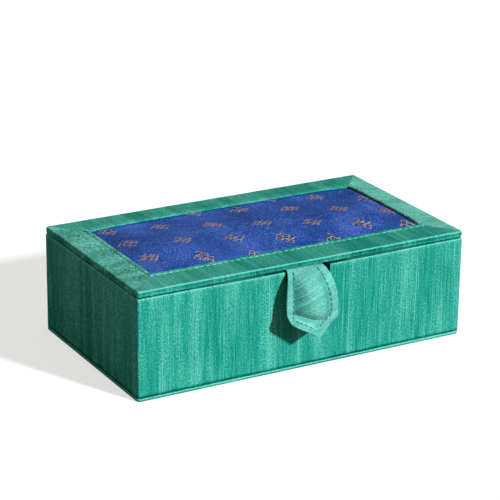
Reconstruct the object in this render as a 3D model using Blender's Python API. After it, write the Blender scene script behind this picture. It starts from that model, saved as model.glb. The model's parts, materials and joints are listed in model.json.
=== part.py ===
"""Fabric-covered jewelry box with a hinged lid, a sewn pull tab and a divided inside.

Metres, +Z up. X runs along the width and Y to the back. The origin is at the centre of
the underside, so the box stands on Z = 0 and its front wall faces -Y.
"""

import math

import bmesh
import bpy
from mathutils import Matrix, Vector

mm = 0.001
degree = math.pi / 180

# Whole box, measured over the wall cloth
box_width = 230 * mm
box_depth = 130 * mm
box_height = 70 * mm

# Stock and clearances
fit_gap = 0.3 * mm
cloth_thickness = 0.5 * mm
cut_overrun = 4 * mm

# Base plate
base_overhang = 0.5 * mm
base_board_thickness = 1.4 * mm
base_corner_radius = 3 * mm
base_edge_radius = 0.7 * mm

# Walls
wall_board_thickness = 3 * mm
rim_edge_radius = 0.4 * mm
wall_corner_radius = 1.5 * mm
board_corner_radius = 0.6 * mm
turn_in_length = 12 * mm
turn_in_corner_radius = 0.6 * mm

# Notch in the front rim, where the tab comes out
notch_width = 32.4 * mm
notch_depth = 7.5 * mm
notch_centre = 0.4 * mm

# Lining of the inside
lining_thickness = 1.2 * mm
lining_drop = 8.5 * mm
floor_pad_thickness = 2.2 * mm

# Dividers and ring rolls
divider_thickness = 2.4 * mm
divider_drop = 9.8 * mm
divider_edge_radius = 0.8 * mm
bay_count = 3
roll_count = 7
roll_height = 22 * mm
roll_end_radius = 1.2 * mm

# Lid
lid_height = 4.3 * mm
lid_inset = 0.7 * mm
lid_rim_gap = 0.4 * mm
lid_board_thickness = 1.5 * mm
lid_corner_radius = 2.6 * mm
lid_edge_radius = 0.9 * mm
border_front_width = 23 * mm
border_back_width = 21.6 * mm
border_left_width = 20 * mm
border_right_width = 17.9 * mm
border_leaf_thickness = 1 * mm
border_turn_under = 12 * mm
window_corner_radius = 0.4 * mm

# Brocade panel and its wadding
brocade_thickness = 0.4 * mm
brocade_margin = 3 * mm
brocade_crown = 0.8 * mm
brocade_shoulder = 12 * mm
wadding_slope = 9 * mm

# Lining under the lid
lid_lining_thickness = 1.8 * mm
lid_lining_clearance = 1.5 * mm
lid_lining_corner_radius = 3 * mm

# Back hinge of cloth
hinge_cloth_length = 224 * mm
hinge_cloth_drop = 15 * mm

# Pull tab
tab_centre = -1.1 * mm
tab_root_width = 25.4 * mm
tab_width = 36.8 * mm
tab_length = 45 * mm
tab_swell_length = 24 * mm
tab_corner_length = 33.8 * mm
tab_corner_softness = 1.3 * mm
tab_tip_width = 2.4 * mm
tab_root_rise = 0.4 * mm
tab_leaf_length = 14 * mm
tab_leaf_thickness = 0.8 * mm
tab_root_thickness = 1.6 * mm
tab_middle_thickness = 2.4 * mm
tab_flange_thickness = 1.1 * mm
tab_flange_width = 2.6 * mm
tab_ramp_width = 1.9 * mm
tab_core_inset = 5 * mm
tab_core_end_share = 0.82
tab_core_thickness = 0.8 * mm
tab_bow_start = 27 * degree
tab_bow_end = 90 * degree
tab_bow_length = 10 * mm
tab_flap_angle = 39 * degree
tab_crease_length = 32 * mm
tab_crease_turn = 2.6 * mm
tab_crease_slope_share = 0.36

# Fineness of the curved faces
corner_steps = 4
edge_steps = 2
roll_steps = 10
tab_rows = 30
tab_columns = 14
crown_columns = 26
crown_rows = 16

# Heights worked out from the sizes above
base_top = cloth_thickness + fit_gap + base_board_thickness
stand_z = base_top + fit_gap
lid_bottom = box_height - lid_height
rim_height = lid_bottom - lid_rim_gap
board_top = rim_height - cloth_thickness - fit_gap
turn_in_end = rim_height - turn_in_length
notch_floor = rim_height - notch_depth
lining_top = rim_height - lining_drop
floor_top = stand_z + floor_pad_thickness
inside_z = floor_top + fit_gap
divider_top = lining_top - divider_drop
lid_board_low = lid_bottom + cloth_thickness + fit_gap
lid_board_high = lid_board_low + lid_board_thickness
brocade_low = lid_board_high + fit_gap
lid_lining_high = lid_bottom - fit_gap
lid_lining_low = lid_lining_high - lid_lining_thickness

# Insets from the outer wall face, working inwards
board_inset = cloth_thickness + fit_gap
board_inner_inset = board_inset + wall_board_thickness
turn_in_inset = board_inner_inset + fit_gap
rim_inner_inset = turn_in_inset + cloth_thickness
lining_inset = rim_inner_inset + fit_gap
lining_inner_inset = lining_inset + lining_thickness
inside_inset = lining_inner_inset + fit_gap
lid_skin_inset = lid_inset + cloth_thickness
lid_board_inset = lid_skin_inset + fit_gap

# The two joints
hinge_y = box_depth / 2 + fit_gap
hinge_z = (rim_height + lid_bottom) / 2
lid_pivot = Vector((0, hinge_y, hinge_z))

# Colours from the photograph, linear
silk_green = (0.020, 0.300, 0.220)
silk_shade = (0.018, 0.240, 0.170)
silk_mint = (0.090, 0.440, 0.340)
brocade_blue = (0.018, 0.060, 0.330)
lining_gold = (0.560, 0.430, 0.230)
velvet_cream = (0.700, 0.600, 0.430)
board_grey = (0.330, 0.300, 0.260)
wadding_white = (0.800, 0.790, 0.760)


def clear_scene():
    for old in list(bpy.data.objects):
        bpy.data.objects.remove(old, do_unlink=True)


def inset_bounds(inset):
    """Rectangle that lies the given distance inside the outer wall faces."""
    half_width = box_width / 2 - inset
    half_depth = box_depth / 2 - inset
    return -half_width, half_width, -half_depth, half_depth


def ring(bounds, radius, z):
    """One level loop round a rectangle with rounded corners, seen from above anticlockwise."""
    x_low, x_high, y_low, y_high = bounds
    centres = (
        (x_high - radius, y_high - radius),
        (x_low + radius, y_high - radius),
        (x_low + radius, y_low + radius),
        (x_high - radius, y_low + radius),
    )
    loop = []
    for quarter, (x, y) in enumerate(centres):
        for step in range(corner_steps + 1):
            angle = (quarter + step / corner_steps) * math.pi / 2
            loop.append((x + radius * math.cos(angle), y + radius * math.sin(angle), z))
    return loop


def shrink(bounds, distance):
    x_low, x_high, y_low, y_high = bounds
    return x_low + distance, x_high - distance, y_low + distance, y_high - distance


def finish(name, mesh, colour, roughness, smooth_angle=35 * degree):
    """Turn a bmesh into a named object with its own material."""
    bmesh.ops.recalc_face_normals(mesh, faces=mesh.faces)
    data = bpy.data.meshes.new(name)
    mesh.to_mesh(data)
    mesh.free()
    data.shade_smooth()
    data.set_sharp_from_angle(angle=smooth_angle)
    material = bpy.data.materials.new(name + "_finish")
    material.use_nodes = True
    shader = material.node_tree.nodes["Principled BSDF"]
    shader.inputs["Base Color"].default_value = (*colour, 1)
    shader.inputs["Roughness"].default_value = roughness
    shader.inputs["Metallic"].default_value = 0
    data.materials.append(material)
    piece = bpy.data.objects.new(name, data)
    bpy.context.scene.collection.objects.link(piece)
    return piece


def loft_mesh(loops, ring_shaped=False):
    """Skin through loops of equal length, capped at both ends or closed on itself."""
    mesh = bmesh.new()
    rows = [[mesh.verts.new(point) for point in loop] for loop in loops]
    pairs = list(zip(rows, rows[1:]))
    if ring_shaped:
        pairs.append((rows[-1], rows[0]))
    else:
        mesh.faces.new(rows[0])
        mesh.faces.new(rows[-1])
    for low, high in pairs:
        for index, corner in enumerate(low):
            after = (index + 1) % len(low)
            mesh.faces.new((corner, low[after], high[after], high[index]))
    return mesh


def rounded_edge(low_z, high_z, radius):
    """Inset and height of each loop of a plate with rounded top and bottom edges."""
    levels = []
    for base_z, first_quarter in ((low_z + radius, -1), (high_z - radius, 0)):
        for step in range(edge_steps + 1):
            angle = (first_quarter + step / edge_steps) * math.pi / 2
            levels.append((radius * (1 - math.cos(angle)), base_z + radius * math.sin(angle)))
    return levels


def plate(name, bounds, low_z, high_z, corner, edge, colour, roughness):
    """Flat or upright slab with rounded corners and eased edges."""
    loops = []
    for inset, z in rounded_edge(low_z, high_z, edge):
        loops.append(ring(shrink(bounds, inset), corner - inset / 2, z))
    return finish(name, loft_mesh(loops), colour, roughness)


def cutter(name, bounds, low_z, high_z):
    """Sharp block that only cuts other pieces."""
    x_low, x_high, y_low, y_high = bounds
    corners = ((x_low, y_low), (x_high, y_low), (x_high, y_high), (x_low, y_high))
    loops = [[(x, y, z) for x, y in corners] for z in (low_z, high_z)]
    block = finish(name, loft_mesh(loops), board_grey, 1)
    hide_cutter(block)
    return block


def hide_cutter(block):
    block.hide_render = True
    block.display_type = "WIRE"


def cut_away(piece, block):
    modifier = piece.modifiers.new(block.name, "BOOLEAN")
    modifier.operation = "DIFFERENCE"
    modifier.object = block


def joint_empty(name, position, parent=None, parent_position=None):
    empty = bpy.data.objects.new(name, None)
    bpy.context.scene.collection.objects.link(empty)
    empty.location = position
    if parent:
        empty.parent = parent
        empty.location = position - parent_position
    return empty


def hang(pieces, empty, pivot):
    """Let the pieces turn with an empty that stands on their joint's axis."""
    for piece in pieces:
        piece.parent = empty
        piece.matrix_parent_inverse = Matrix.Translation(-pivot)


def notch_bounds(grown):
    half = notch_width / 2 + grown
    front = -box_depth / 2 - cut_overrun
    back = -box_depth / 2 + rim_inner_inset + cut_overrun
    return notch_centre - half, notch_centre + half, front, back


def build_base():
    outer = inset_bounds(-base_overhang)
    loops = []
    for inset, z in rounded_edge(0, base_top, base_edge_radius):
        radius = base_corner_radius - inset
        loops.append(ring(shrink(outer, inset), radius, min(z, base_top)))
    inner = shrink(outer, cloth_thickness)
    inner_radius = base_corner_radius - cloth_thickness
    mouth = shrink(outer, base_edge_radius + cloth_thickness)
    loops.append(ring(mouth, inner_radius - base_edge_radius, base_top))
    loops.append(ring(mouth, inner_radius - base_edge_radius, base_top - cloth_thickness))
    loops.append(ring(inner, inner_radius, base_top - base_edge_radius))
    loops.append(ring(inner, inner_radius, base_edge_radius))
    loops.append(ring(mouth, inner_radius - base_edge_radius, cloth_thickness))
    finish("base_cloth", loft_mesh(loops), silk_green, 0.6)
    board = shrink(mouth, fit_gap)
    board_low = cloth_thickness + fit_gap
    plate(
        "base_board", board, board_low, base_top,
        inner_radius - base_edge_radius, base_edge_radius / 2, board_grey, 0.9,
    )


def build_wall_boards():
    x_low, x_high, y_low, y_high = inset_bounds(board_inset)
    thick = wall_board_thickness
    side_low = y_low + thick + fit_gap
    side_high = y_high - thick - fit_gap
    panels = {
        "front_board": (x_low, x_high, y_low, y_low + thick),
        "back_board": (x_low, x_high, y_high - thick, y_high),
        "left_board": (x_low, x_low + thick, side_low, side_high),
        "right_board": (x_high - thick, x_high, side_low, side_high),
    }
    made = {}
    for name, bounds in panels.items():
        corner = board_corner_radius
        made[name] = plate(name, bounds, stand_z, board_top, corner, corner / 2, board_grey, 0.9)
    grown = board_inset
    block = cutter("notch_in_board", notch_bounds(grown), notch_floor - grown, rim_height + cut_overrun)
    cut_away(made["front_board"], block)


def build_wall_cloth():
    """Silk skin round the walls, turned over the rim and down inside, with its notch."""
    outer = inset_bounds(0)
    skin = inset_bounds(cloth_thickness)
    inner = inset_bounds(rim_inner_inset)
    skin_radius = wall_corner_radius - cloth_thickness
    edge = rim_edge_radius
    loops = [
        ring(outer, wall_corner_radius, stand_z),
        ring(outer, wall_corner_radius, rim_height - edge),
        ring(shrink(outer, edge), wall_corner_radius - edge, rim_height),
        ring(shrink(inner, -edge), turn_in_corner_radius + edge, rim_height),
        ring(inner, turn_in_corner_radius, rim_height - edge),
        ring(inner, turn_in_corner_radius, turn_in_end),
        ring(skin, skin_radius, turn_in_end),
        ring(skin, skin_radius, stand_z),
    ]
    cloth = finish("wall_cloth", loft_mesh(loops, ring_shaped=True), silk_green, 0.6)
    above = rim_height + cut_overrun
    cut_away(cloth, cutter("notch_in_cloth", notch_bounds(0), notch_floor, above))

    behind = inset_bounds(turn_in_inset)
    low = turn_in_end - cut_overrun
    high = rim_height - cloth_thickness
    loops = [
        ring(skin, skin_radius, low),
        ring(skin, skin_radius, high),
        ring(behind, turn_in_corner_radius, high),
        ring(behind, turn_in_corner_radius, low),
    ]
    hollow = finish("board_space", loft_mesh(loops, ring_shaped=True), board_grey, 1)
    hide_cutter(hollow)
    grown = cloth_thickness
    cut_away(hollow, cutter("notch_lining", notch_bounds(grown), notch_floor - grown, above))
    cut_away(cloth, hollow)


def build_linings():
    x_low, x_high, y_low, y_high = inset_bounds(lining_inset)
    thick = lining_thickness
    side_low = y_low + thick + fit_gap
    side_high = y_high - thick - fit_gap
    panels = {
        "front_lining": (x_low, x_high, y_low, y_low + thick),
        "back_lining": (x_low, x_high, y_high - thick, y_high),
        "left_lining": (x_low, x_low + thick, side_low, side_high),
        "right_lining": (x_high - thick, x_high, side_low, side_high),
    }
    for name, bounds in panels.items():
        edge = thick / 4
        plate(name, bounds, stand_z, lining_top, edge, edge, lining_gold, 0.8)
    floor = inset_bounds(inside_inset)
    edge = floor_pad_thickness / 4
    plate("floor_pad", floor, stand_z, floor_top, edge, edge, velvet_cream, 0.9)


def divider_x(number):
    """Middle of an upright across the box, counted from the left wall."""
    x_low, x_high, _, _ = inset_bounds(inside_inset)
    return x_low + (x_high - x_low) * number / bay_count


def build_dividers():
    x_low, _, y_low, y_high = inset_bounds(inside_inset)
    half = divider_thickness / 2
    corner = divider_thickness / 4
    edge = divider_edge_radius
    uprights = {}
    for number, name in ((1, "left_divider"), (bay_count - 1, "right_divider")):
        bounds = (divider_x(number) - half, divider_x(number) + half, y_low, y_high)
        uprights[name] = plate(name, bounds, inside_z, divider_top, corner, edge, lining_gold, 0.8)
    reach = divider_x(bay_count - 1) - half - fit_gap
    bounds = (x_low, reach, -half, half)
    middle = plate("long_divider", bounds, inside_z, divider_top, corner, edge, lining_gold, 0.8)

    slot = half + fit_gap
    wide = divider_thickness + cut_overrun
    middle_z = (inside_z + divider_top) / 2
    x = divider_x(1)
    upper = cutter(
        "long_divider_slot", (x - slot, x + slot, -wide, wide),
        middle_z - fit_gap / 2, divider_top + cut_overrun,
    )
    cut_away(middle, upper)
    lower = cutter(
        "left_divider_slot", (x - wide, x + wide, -slot, slot),
        inside_z - cut_overrun, middle_z + fit_gap / 2,
    )
    cut_away(uprights["left_divider"], lower)


def roll_section(half_width):
    """Half-round top over straight sides, as heights above the roll's foot."""
    points = [(-half_width, 0), (half_width, 0)]
    shoulder = roll_height - half_width
    for step in range(roll_steps + 1):
        angle = math.pi * step / roll_steps
        points.append((half_width * math.cos(angle), shoulder + half_width * math.sin(angle)))
    return points


def build_ring_rolls():
    _, x_high, y_low, y_high = inset_bounds(inside_inset)
    x_low = divider_x(bay_count - 1) + divider_thickness / 2 + fit_gap
    pitch = (y_high - y_low + fit_gap) / roll_count
    half = (pitch - fit_gap) / 2
    ends = (
        (x_low, roll_end_radius), (x_low + roll_end_radius, 0),
        (x_high - roll_end_radius, 0), (x_high, roll_end_radius),
    )
    for number in range(roll_count):
        middle = y_low + half + pitch * number
        loops = []
        for x, drawn_in in ends:
            share = (half - drawn_in) / half
            loops.append([
                (x, middle + y * share, inside_z + z * (1 - drawn_in / roll_height))
                for y, z in roll_section(half)
            ])
        finish(f"ring_roll_{number + 1}", loft_mesh(loops), velvet_cream, 0.9)


def border_loops():
    """Loops round the lid's edge wrap: top leaf, rounded edge, side and turn-under."""
    outer = inset_bounds(lid_inset)
    x_low, x_high, y_low, y_high = outer
    window = (
        x_low + border_left_width, x_high - border_right_width,
        y_low + border_front_width, y_high - border_back_width,
    )
    skin = shrink(outer, cloth_thickness)
    under = shrink(outer, border_turn_under)
    leaf_low = box_height - border_leaf_thickness
    fold = border_leaf_thickness / 4
    skin_radius = lid_corner_radius - cloth_thickness
    small = window_corner_radius
    levels = rounded_edge(lid_bottom, box_height, lid_edge_radius)
    loops = [ring(under, small, lid_bottom)]
    for inset, z in levels:
        loops.append(ring(shrink(outer, inset), lid_corner_radius - inset, z))
    loops.append(ring(shrink(window, -fold), small + fold, box_height))
    loops.append(ring(window, small, box_height - fold))
    loops.append(ring(window, small, leaf_low))
    loops.append(ring(shrink(skin, cloth_thickness), skin_radius - cloth_thickness, leaf_low))
    loops.append(ring(skin, skin_radius, leaf_low - cloth_thickness))
    loops.append(ring(skin, skin_radius, lid_bottom + cloth_thickness + lid_edge_radius / 2))
    loops.append(ring(shrink(skin, cloth_thickness), skin_radius - cloth_thickness, lid_bottom + cloth_thickness))
    loops.append(ring(under, small, lid_bottom + cloth_thickness))
    return loops


def build_border():
    """Four strips of one wrap, parted on the mitre line at each corner of the lid."""
    loops = border_loops()
    count = len(loops[0])
    per_corner = corner_steps + 1
    shift = fit_gap / math.sqrt(2)
    pieces = []
    for corner, name in enumerate(("back", "left", "front", "right")):
        first = corner * per_corner + corner_steps // 2
        stations = [(first + step) % count for step in range(per_corner + 1)]
        direction = ((-1, 0), (0, -1), (1, 0), (0, 1))[corner]
        mesh = bmesh.new()
        rows = []
        for order, station in enumerate(stations):
            side = 1 if order < len(stations) / 2 else -1
            row = []
            for loop in loops:
                x, y, z = loop[station]
                row.append(mesh.verts.new((
                    x + direction[0] * shift * side, y + direction[1] * shift * side, z,
                )))
            rows.append(row)
        mesh.faces.new(rows[0])
        mesh.faces.new(rows[-1])
        for before, after in zip(rows, rows[1:]):
            for index, corner_vertex in enumerate(before):
                step = (index + 1) % len(before)
                mesh.faces.new((corner_vertex, before[step], after[step], after[index]))
        pieces.append(finish(f"border_{name}", mesh, silk_green, 0.55))
    return pieces


def crown_at(x, y, window):
    """Height of the lightly padded panel: flat in the middle, down to nothing at the border."""
    x_low, x_high, y_low, y_high = window
    nearest = min(x - x_low, x_high - x, y - y_low, y_high - y)
    share = max(0, min(1, nearest / brocade_shoulder))
    return brocade_crown * math.sin(share * math.pi / 2)


def build_brocade():
    outer = inset_bounds(lid_inset + brocade_margin)
    x_low, x_high, y_low, y_high = inset_bounds(lid_inset)
    window = (
        x_low + border_left_width, x_high - border_right_width,
        y_low + border_front_width, y_high - border_back_width,
    )
    mesh = bmesh.new()
    grids = []
    for offset in (0, brocade_thickness):
        grid = []
        for row in range(crown_rows + 1):
            y = outer[2] + (outer[3] - outer[2]) * row / crown_rows
            line = []
            for column in range(crown_columns + 1):
                x = outer[0] + (outer[1] - outer[0]) * column / crown_columns
                line.append(mesh.verts.new((x, y, brocade_low + offset + crown_at(x, y, window))))
            grid.append(line)
        grids.append(grid)
    close_grids(mesh, *grids)
    panel = finish("brocade_panel", mesh, brocade_blue, 0.5)

    pad = shrink(window, brocade_shoulder - wadding_slope / 2)
    pad_top = brocade_low + brocade_crown - fit_gap
    loops = [
        ring(pad, wadding_slope, brocade_low),
        ring(pad, wadding_slope, (brocade_low + pad_top) / 2),
        ring(shrink(pad, wadding_slope), wadding_slope / 2, pad_top),
    ]
    pad_piece = finish("lid_wadding", loft_mesh(loops), wadding_white, 0.95)
    return [panel, pad_piece]


def close_grids(mesh, low, high):
    """Join two equal grids of vertices, one above the other, into one closed body."""
    rows = len(low)
    columns = len(low[0])
    for grid in (low, high):
        for row in range(rows - 1):
            for column in range(columns - 1):
                mesh.faces.new((
                    grid[row][column], grid[row][column + 1],
                    grid[row + 1][column + 1], grid[row + 1][column],
                ))
    edge = [(0, column) for column in range(columns)]
    edge += [(row, columns - 1) for row in range(1, rows)]
    edge += [(rows - 1, column) for column in range(columns - 2, -1, -1)]
    edge += [(row, 0) for row in range(rows - 2, 0, -1)]
    for index, (row, column) in enumerate(edge):
        next_row, next_column = edge[(index + 1) % len(edge)]
        mesh.faces.new((
            low[row][column], low[next_row][next_column],
            high[next_row][next_column], high[row][column],
        ))


def build_lid_core():
    board = plate(
        "lid_board", inset_bounds(lid_board_inset), lid_board_low, lid_board_high,
        lid_corner_radius - cloth_thickness - fit_gap, lid_board_thickness / 4, board_grey, 0.9,
    )
    lining = plate(
        "lid_lining", inset_bounds(rim_inner_inset + lid_lining_clearance),
        lid_lining_low, lid_lining_high,
        lid_lining_corner_radius, lid_lining_thickness / 4, lining_gold, 0.8,
    )
    half = tab_root_width / 2
    front = -box_depth / 2 + lid_inset
    leaf_bounds = (tab_centre - half, tab_centre + half, front, front + tab_leaf_length)
    leaf_low = lid_lining_high - tab_leaf_thickness
    leaf = plate(
        "tab_root", leaf_bounds, leaf_low, lid_lining_high,
        tab_leaf_thickness / 4, tab_leaf_thickness / 4, silk_mint, 0.6,
    )
    pocket = shrink(leaf_bounds, -fit_gap)
    cut_away(lining, cutter("tab_pocket", pocket, leaf_low - fit_gap, lid_lining_high + cut_overrun))
    return [board, lining, leaf]


def build_hinge_cloth():
    """Strip of cloth up the outside of the back wall and the back edge of the lid."""
    half = hinge_cloth_length / 2
    wall_face = box_depth / 2 + fit_gap
    lid_face = wall_face - lid_inset
    bottom = rim_height - hinge_cloth_drop
    knee = rim_height - cloth_thickness
    top = box_height - lid_edge_radius
    section = (
        (wall_face, bottom), (wall_face + cloth_thickness, bottom),
        (wall_face + cloth_thickness, knee),
        (lid_face + cloth_thickness, lid_bottom + cloth_thickness),
        (lid_face + cloth_thickness, top), (lid_face, top),
        (lid_face, lid_bottom + cloth_thickness), (wall_face, knee),
    )
    loops = [[(x, y, z) for y, z in section] for x in (-half, half)]
    return finish("hinge_cloth", loft_mesh(loops), silk_shade, 0.6)


def tab_half_width(length, inset=0):
    """Half the tab's width at a distance from its root, drawn in by an inset."""
    swell = math.sin(min(1, length / tab_swell_length) * math.pi / 2)
    side = (tab_root_width + (tab_width - tab_root_width) * swell) / 2 - inset
    point = tab_length - inset
    slope = (tab_width - tab_tip_width) / 2 / (tab_length - tab_corner_length)
    slanted = tab_tip_width / 2 + (point - length) * slope
    soft = tab_corner_softness
    return side - soft * math.log1p(math.exp((side - slanted) / soft))


def tab_heading(length, across):
    """Angle below the horizontal in which the tab runs at a point on it."""
    spent = 1 - math.exp(-length / tab_bow_length)
    bow = tab_bow_start + (tab_bow_end - tab_bow_start) * spent
    past = length - (tab_crease_length + tab_crease_slope_share * across)
    share = max(0, min(1, past / tab_crease_turn))
    turn = share * share * (3 - 2 * share)
    return bow + (tab_flap_angle - bow) * turn


def tab_start():
    """Middle of the tab's root, just clear of the leaf held under the lid."""
    half = tab_root_thickness / 2
    y = -box_depth / 2 + lid_inset - fit_gap - half * math.sin(tab_bow_start)
    return Vector((tab_centre, y, lid_lining_high - half + tab_root_rise))


def tab_point(length, across, lift):
    """Point of the bowed tab, a given height above its middle surface."""
    place = tab_start()
    steps = max(1, math.ceil(length / tab_length * tab_rows * 2))
    part = length / steps
    for step in range(steps):
        angle = tab_heading((step + 0.5) * part, across)
        place += Vector((0, -math.cos(angle), -math.sin(angle))) * part
    angle = tab_heading(length, across)
    place += Vector((0, -math.sin(angle), math.cos(angle))) * lift
    place.x += across
    return place


def tab_half_thickness(length, across):
    """Flat sewn edge, padded middle, flatter towards the root."""
    to_side = tab_half_width(length) - abs(across)
    share = max(0, min(1, (to_side - tab_flange_width) / tab_ramp_width))
    middle = tab_root_thickness
    middle += (tab_middle_thickness - tab_root_thickness) * min(1, length / tab_bow_length)
    return (tab_flange_thickness + (middle - tab_flange_thickness) * share) / 2


def tab_body(name, start, inset, end, half_thickness, colour, roughness):
    """Closed body that follows the tab's bow between two flat-lying grids."""
    mesh = bmesh.new()
    grids = []
    for side in (-1, 1):
        grid = []
        for row in range(tab_rows + 1):
            length = start + (end - start) * row / tab_rows
            half = tab_half_width(length, inset)
            line = []
            for column in range(tab_columns + 1):
                across = half * (2 * column / tab_columns - 1)
                lift = side * half_thickness(length, across)
                line.append(mesh.verts.new(tab_point(length, across, lift)))
            grid.append(line)
        grids.append(grid)
    close_grids(mesh, *grids)
    return finish(name, mesh, colour, roughness)


def build_tab():
    cloth = tab_body("tab_cloth", 0, 0, tab_length, tab_half_thickness, silk_mint, 0.6)

    def core_half(length, across):
        return tab_core_thickness / 2

    def hollow_half(length, across):
        return tab_core_thickness / 2 + fit_gap

    inset = tab_core_inset
    end = tab_length * tab_core_end_share
    core = tab_body("tab_core", 0, inset, end, core_half, wadding_white, 0.9)
    hollow = tab_body(
        "tab_hollow", -fit_gap, inset - fit_gap, end + fit_gap, hollow_half, board_grey, 1,
    )
    hide_cutter(hollow)
    cut_away(cloth, hollow)
    return [cloth, core], hollow


def main():
    clear_scene()
    build_base()
    build_wall_boards()
    build_wall_cloth()
    build_linings()
    build_dividers()
    build_ring_rolls()
    lid_pieces = build_lid_core() + build_brocade() + build_border() + [build_hinge_cloth()]
    tab_pieces, tab_hollow = build_tab()

    lid_empty = joint_empty("lid_hinge", lid_pivot)
    tab_pivot = tab_point(0, 0, tab_root_thickness / 2)
    tab_empty = joint_empty("tab_hinge", tab_pivot, lid_empty, lid_pivot)
    hang(lid_pieces, lid_empty, lid_pivot)
    hang(tab_pieces + [tab_hollow], tab_empty, tab_pivot)
    print("lid joint", [round(value, 6) for value in lid_pivot])
    print("tab joint", [round(value, 6) for value in tab_pivot])


main()
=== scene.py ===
"""Looks of the fabric-covered jewelry box: silk skins, padded brocade, stitching, lining, light and camera.

Metres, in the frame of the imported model: X to the right, Y to the back, Z up. Pieces take their places
and sizes from the model's boxes, and the pull tab repeats the outline and bow of its solid. The other
names below give the details that cloth adds.
"""

import functools
import json
import math

import bmesh
import bpy
from mathutils import Matrix, Vector, noise


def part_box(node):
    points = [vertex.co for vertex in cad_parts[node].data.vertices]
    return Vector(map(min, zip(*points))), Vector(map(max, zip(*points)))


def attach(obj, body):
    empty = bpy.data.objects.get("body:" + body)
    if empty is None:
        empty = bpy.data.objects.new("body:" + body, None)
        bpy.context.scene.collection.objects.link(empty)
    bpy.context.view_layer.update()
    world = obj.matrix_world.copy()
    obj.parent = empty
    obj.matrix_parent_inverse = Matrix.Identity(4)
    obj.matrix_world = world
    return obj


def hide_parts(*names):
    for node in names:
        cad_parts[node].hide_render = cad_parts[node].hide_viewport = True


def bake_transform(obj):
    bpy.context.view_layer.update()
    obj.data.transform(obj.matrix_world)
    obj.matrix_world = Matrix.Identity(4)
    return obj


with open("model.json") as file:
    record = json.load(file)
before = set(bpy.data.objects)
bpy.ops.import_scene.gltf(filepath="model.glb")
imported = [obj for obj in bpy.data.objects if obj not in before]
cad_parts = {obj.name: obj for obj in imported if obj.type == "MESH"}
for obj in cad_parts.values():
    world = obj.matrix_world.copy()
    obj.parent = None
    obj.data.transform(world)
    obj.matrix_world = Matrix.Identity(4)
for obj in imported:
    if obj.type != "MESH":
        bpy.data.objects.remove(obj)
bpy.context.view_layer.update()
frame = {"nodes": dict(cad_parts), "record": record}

mm = 0.001
degree = math.pi / 180

# Camera of the photograph
camera_azimuth = -29.82 * degree
camera_elevation = 20.23 * degree
camera_roll = 0.79 * degree
camera_distance = 1318.2 * mm
camera_lens = 148.8
camera_sensor = 36
aim_height = 35 * mm
aim_right = -2.19 * mm
aim_up = 19.22 * mm

# Light and stage
key_travel = (-0.38, 0.815, -0.43)
key_strength = 3.7
key_angle = 4.5 * degree
back_travel = (0.05, -1, -0.12)
back_strength = 1.0
back_angle = 30 * degree
sky_strength = 0.15
sky_tint = (1, 0.98, 0.74)
floor_half = 3
floor_drop = 0.05 * mm
floor_tone = 0.24
floor_seen_tone = 0.7
floor_glow = 0.62

# Colours, linear, as they are under a plain white light
green = (0.007, 0.385, 0.30)
# The tab's green: the wall's green made lighter as painted sheen
green_with_painted_sheen = (0.055, 0.42, 0.355)
royal_blue = (0.026, 0.125, 0.62)
bronze = (0.07, 0.075, 0.22)
# The motif thread is lighter cream in front as painted sheen, and mauve further back
cream_thread = (0.66, 0.60, 0.60)
mauve_thread = (0.31, 0.27, 0.42)
copper_thread = (0.40, 0.27, 0.31)
light_thread = (0.36, 0.88, 0.78)
dark_thread = (0.008, 0.10, 0.075)
lining_gold = (0.56, 0.43, 0.23)
velvet_cream = (0.70, 0.60, 0.43)
board_grey = (0.33, 0.30, 0.26)
wadding_white = (0.80, 0.79, 0.76)

# Ramp stops: a place, a factor on the colour and a light added to it
silk_stops = ((0.0, 0.12, 0.0), (0.12, 0.42, 0.0), (0.45, 1.0, 0.0))
silk_top_factor = 1.1
silk_top_light = (0.17, 0.3, 0.27)
brocade_stops = ((0.1, 0.3, 0.0), (0.5, 1.0, 0.0), (1.0, 1.25, 0.17))
thread_stops = ((0.25, 0.6, 0.0), (0.6, 1.0, 0.0), (0.85, 1.2, 0.05))
lining_stops = ((0.28, 0.72, 0.0), (0.5, 1.0, 0.0), (0.72, 1.12, 0.02))
velvet_stops = ((0.3, 0.7, 0.0), (0.5, 1.0, 0.0), (0.7, 1.12, 0.0))
board_stops = ((0.3, 0.75, 0.0), (0.7, 1.15, 0.0))

# Silk: sizes across and along its yarns, and the tones that its noises turn into
yarn_size = (0.8 * mm, 20 * mm)
slub_size = (0.75 * mm, 130 * mm)
fleck_size = (0.65 * mm, 1.0 * mm)
band_size = (9 * mm, 110 * mm)
yarn_tone = (0.25, 0.75, 0.27, 0.67)
fleck_tone = (0.25, 0.5, -0.16, 0.0)
spark_tone = (0.5, 0.68, 0.0, 0.55)
band_tone = (0.35, 0.65, -0.05, 0.1)
band_sparks = (0.35, 0.65, 0.35, 1.0)
slub_tone = (0.68, 0.76, 0.0)
slub_light = 0.3
# How the painted highlights and painted shade vary with the flecks
painted_shading_tone = (0.35, 0.6, 0.25, 0.75)
even_tone = 0.5
rib_pitch = 0.95 * mm
weave_pitch = 0.42 * mm
wave_factor = 20
weave_relief = 0.15
yarn_relief = 0.9
slub_relief = 0.8
fleck_relief = 0.7
silk_depth = 0.3 * mm

# Brocade and threads
grain_size = (0.85 * mm, 1.0 * mm, 1.3 * mm)
grain_tone = (0.25, 0.75, -0.1, 1.1)
glint_size = (0.9 * mm, 1.1 * mm, 1.3 * mm)
glint_tone = (0.6, 0.75, 0.0, 0.4)
shade_size = (30 * mm, 46 * mm, 40 * mm)
shade_tone = (0.3, 0.7, -0.32, 0.1)
tint_size = (60 * mm, 38 * mm, 40 * mm)
tint_tone = (0.45, 0.7, 0.0, 0.3)
tint_factors = (2.2, 0.85, 0.85)
brocade_depth = 0.25 * mm
twist_size = (1.3 * mm,) * 3
patch_size = (2.6 * mm,) * 3
patch_tone = (0.5, 0.62)
twist_depth = 0.1 * mm

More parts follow.
